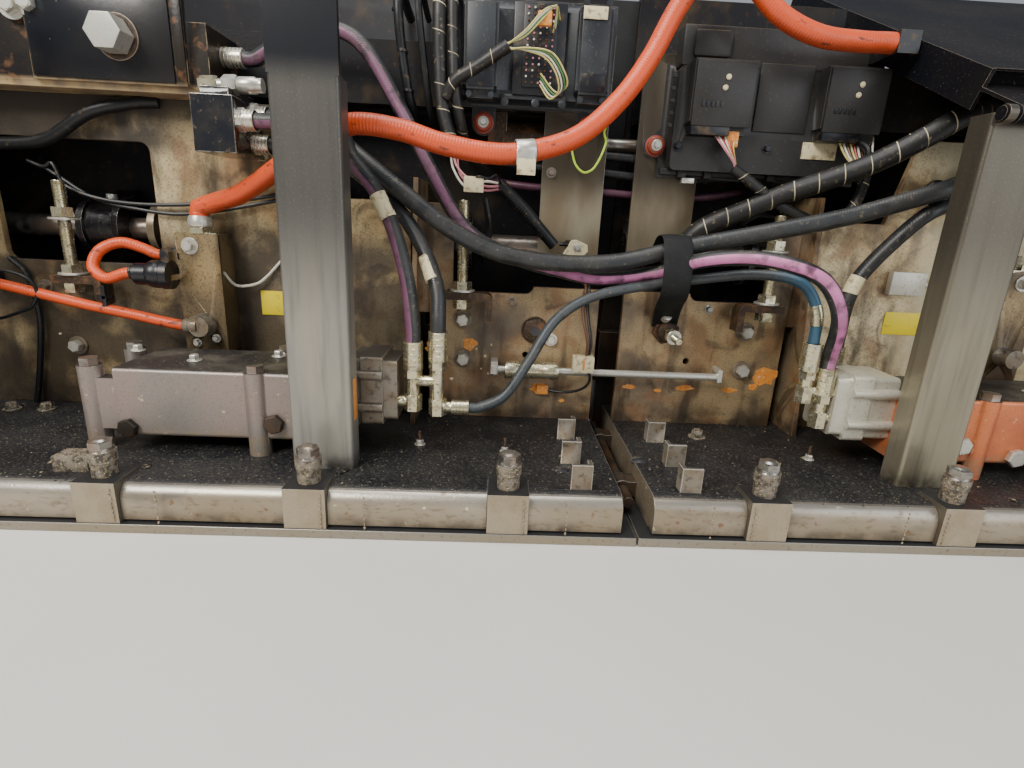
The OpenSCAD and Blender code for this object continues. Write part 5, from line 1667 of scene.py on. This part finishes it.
class SCREED_OT_deposits(bpy.types.Operator):
    """Asphalt grains, crusts and weld beads on the base sheets"""
    bl_idname = "screed.deposits"
    bl_label = "Grains and crusts"

    def execute(self, context):
        rng = random.Random(7)
        mean = size("grit")
        for body, piece in halves("grains_").items():
            side = HALVES[body]
            for _ in range(GRAINS):
                x, y = (rng.uniform(*span) for span in SHEET)
                if any(a < x < b and c < y < d for a, b, c, d in STANDING):
                    continue
                r = mean * rng.uniform(0.6, 1.3) * (2.0 if rng.random() < 0.08 else 1.0)
                piece.lump((side * x, y, SHEET_TOP), (r, r * rng.uniform(0.7, 1.2), r * 0.8),
                           grit_stone, rng)
            for clamp in range(CLAMPS):
                for x in (-WELD, WELD):
                    x += FIRST_CLAMP + CLAMP_STEP * clamp
                    for z in range(16, 60, 6):
                        piece.lump((side * x, 0.5, z), (1.6, 1.2, rng.uniform(1.4, 3.0)),
                                   clamp_block, rng)
            piece.finish()
        for side, crusts in CRUSTS.items():
            piece = Piece("crusts_" + side, side + "_half")
            for x, y, r in crusts:
                piece.lump((x, y, SHEET_TOP - 1), (r, r * 0.8, r * 0.4), grit_stone, rng, 2)
            piece.finish()
        return {"FINISHED"}


# CAD pieces and their finishes: those that both halves have, and those of one
TWINS = {
    "sole": sole_steel, "base": base_sheet, "clamps": clamp_block, "inner_wall": inner_wall_paint,
    "main_wall": main_wall_paint, "front_wall": matt_enamel, "end_wall": gloss_enamel,
    "beam": beam_paint, "bearings": oily_black, "shaft": bright_steel, "tamper": tamper_steel,
    "tamper_rod_in": tamper_steel, "tamper_rod_out": tamper_steel, "arm_bracket": gloss_enamel,
    "crown_hinge": tamper_steel, "terminal_box": tan_box_paint, "adjusters": rusty_iron,
    "control": moulded_plastic,
}
SINGLES = {
    "posts_l": left_post_paint, "posts_r": right_post_paint, "vib_housing_l": left_housing_paint,
    "vib_housing_r": right_housing_paint, "vib_motor_l": cast_iron, "vib_motor_r": cast_alloy,
    "crown_barrel": rusty_iron, "crown_screw": bright_steel, "crown_sleeve": zinc_plate,
    "crown_rod": zinc_plate, "valve_block": oily_black, "hose_block": oily_black,
    "walkway": platform_paint,
}
# Pieces with the rounder edges of castings
CASTINGS = ("arm_bracket", "control", "valve_block", "hose_block")


class SCREED_OT_frame(bpy.types.Operator):
    """Worn edges and finishes for every rigid piece of the frame"""
    bl_idname = "screed.frame"
    bl_label = "Frame"

    def execute(self, context):
        twins = {f"{stem}_{side}": maker for stem, maker in TWINS.items() for side in "lr"}
        for node, maker in {**SINGLES, **twins}.items():
            dressed_copy(node, maker, size("casting" if node.startswith(CASTINGS) else "edge"))
        return {"FINISHED"}


class SCREED_PT_panel(bpy.types.Panel):
    """Lists the screed's pieces and their sizes and colours"""
    bl_idname = "SCREED_PT_panel"
    bl_label = "Screed"
    bl_space_type = "VIEW_3D"
    bl_region_type = "UI"
    bl_category = "Screed"

    def draw(self, context):
        column = self.layout.column(align=True)
        for operator in OPERATORS:
            column.operator(operator.bl_idname)
        for group in (context.scene.screed_sizes, context.scene.screed_colours):
            box = self.layout.box()
            for name in group.__annotations__:
                box.prop(group, name)


OPERATORS = (
    SCREED_OT_stage, SCREED_OT_frame, SCREED_OT_hoses, SCREED_OT_hose_ends, SCREED_OT_fasteners,
    SCREED_OT_adjusters, SCREED_OT_looms, SCREED_OT_units, SCREED_OT_labels, SCREED_OT_deposits)
CLASSES = (ScreedColours, ScreedSizes, *OPERATORS, SCREED_PT_panel)


def register():
    for cls in CLASSES:
        bpy.utils.register_class(cls)
    bpy.types.Scene.screed_colours = bpy.props.PointerProperty(type=ScreedColours)
    bpy.types.Scene.screed_sizes = bpy.props.PointerProperty(type=ScreedSizes)


def unregister():
    del bpy.types.Scene.screed_sizes
    del bpy.types.Scene.screed_colours
    for cls in reversed(CLASSES):
        bpy.utils.unregister_class(cls)


def main():
    register()
    bpy.ops.screed.stage()
    bpy.ops.screed.frame()
    bpy.ops.screed.hoses()
    bpy.ops.screed.hose_ends()
    bpy.ops.screed.fasteners()
    bpy.ops.screed.adjusters()
    bpy.ops.screed.looms()
    bpy.ops.screed.units()
    bpy.ops.screed.labels()
    bpy.ops.screed.deposits()


if __name__ == "__main__":
    main()
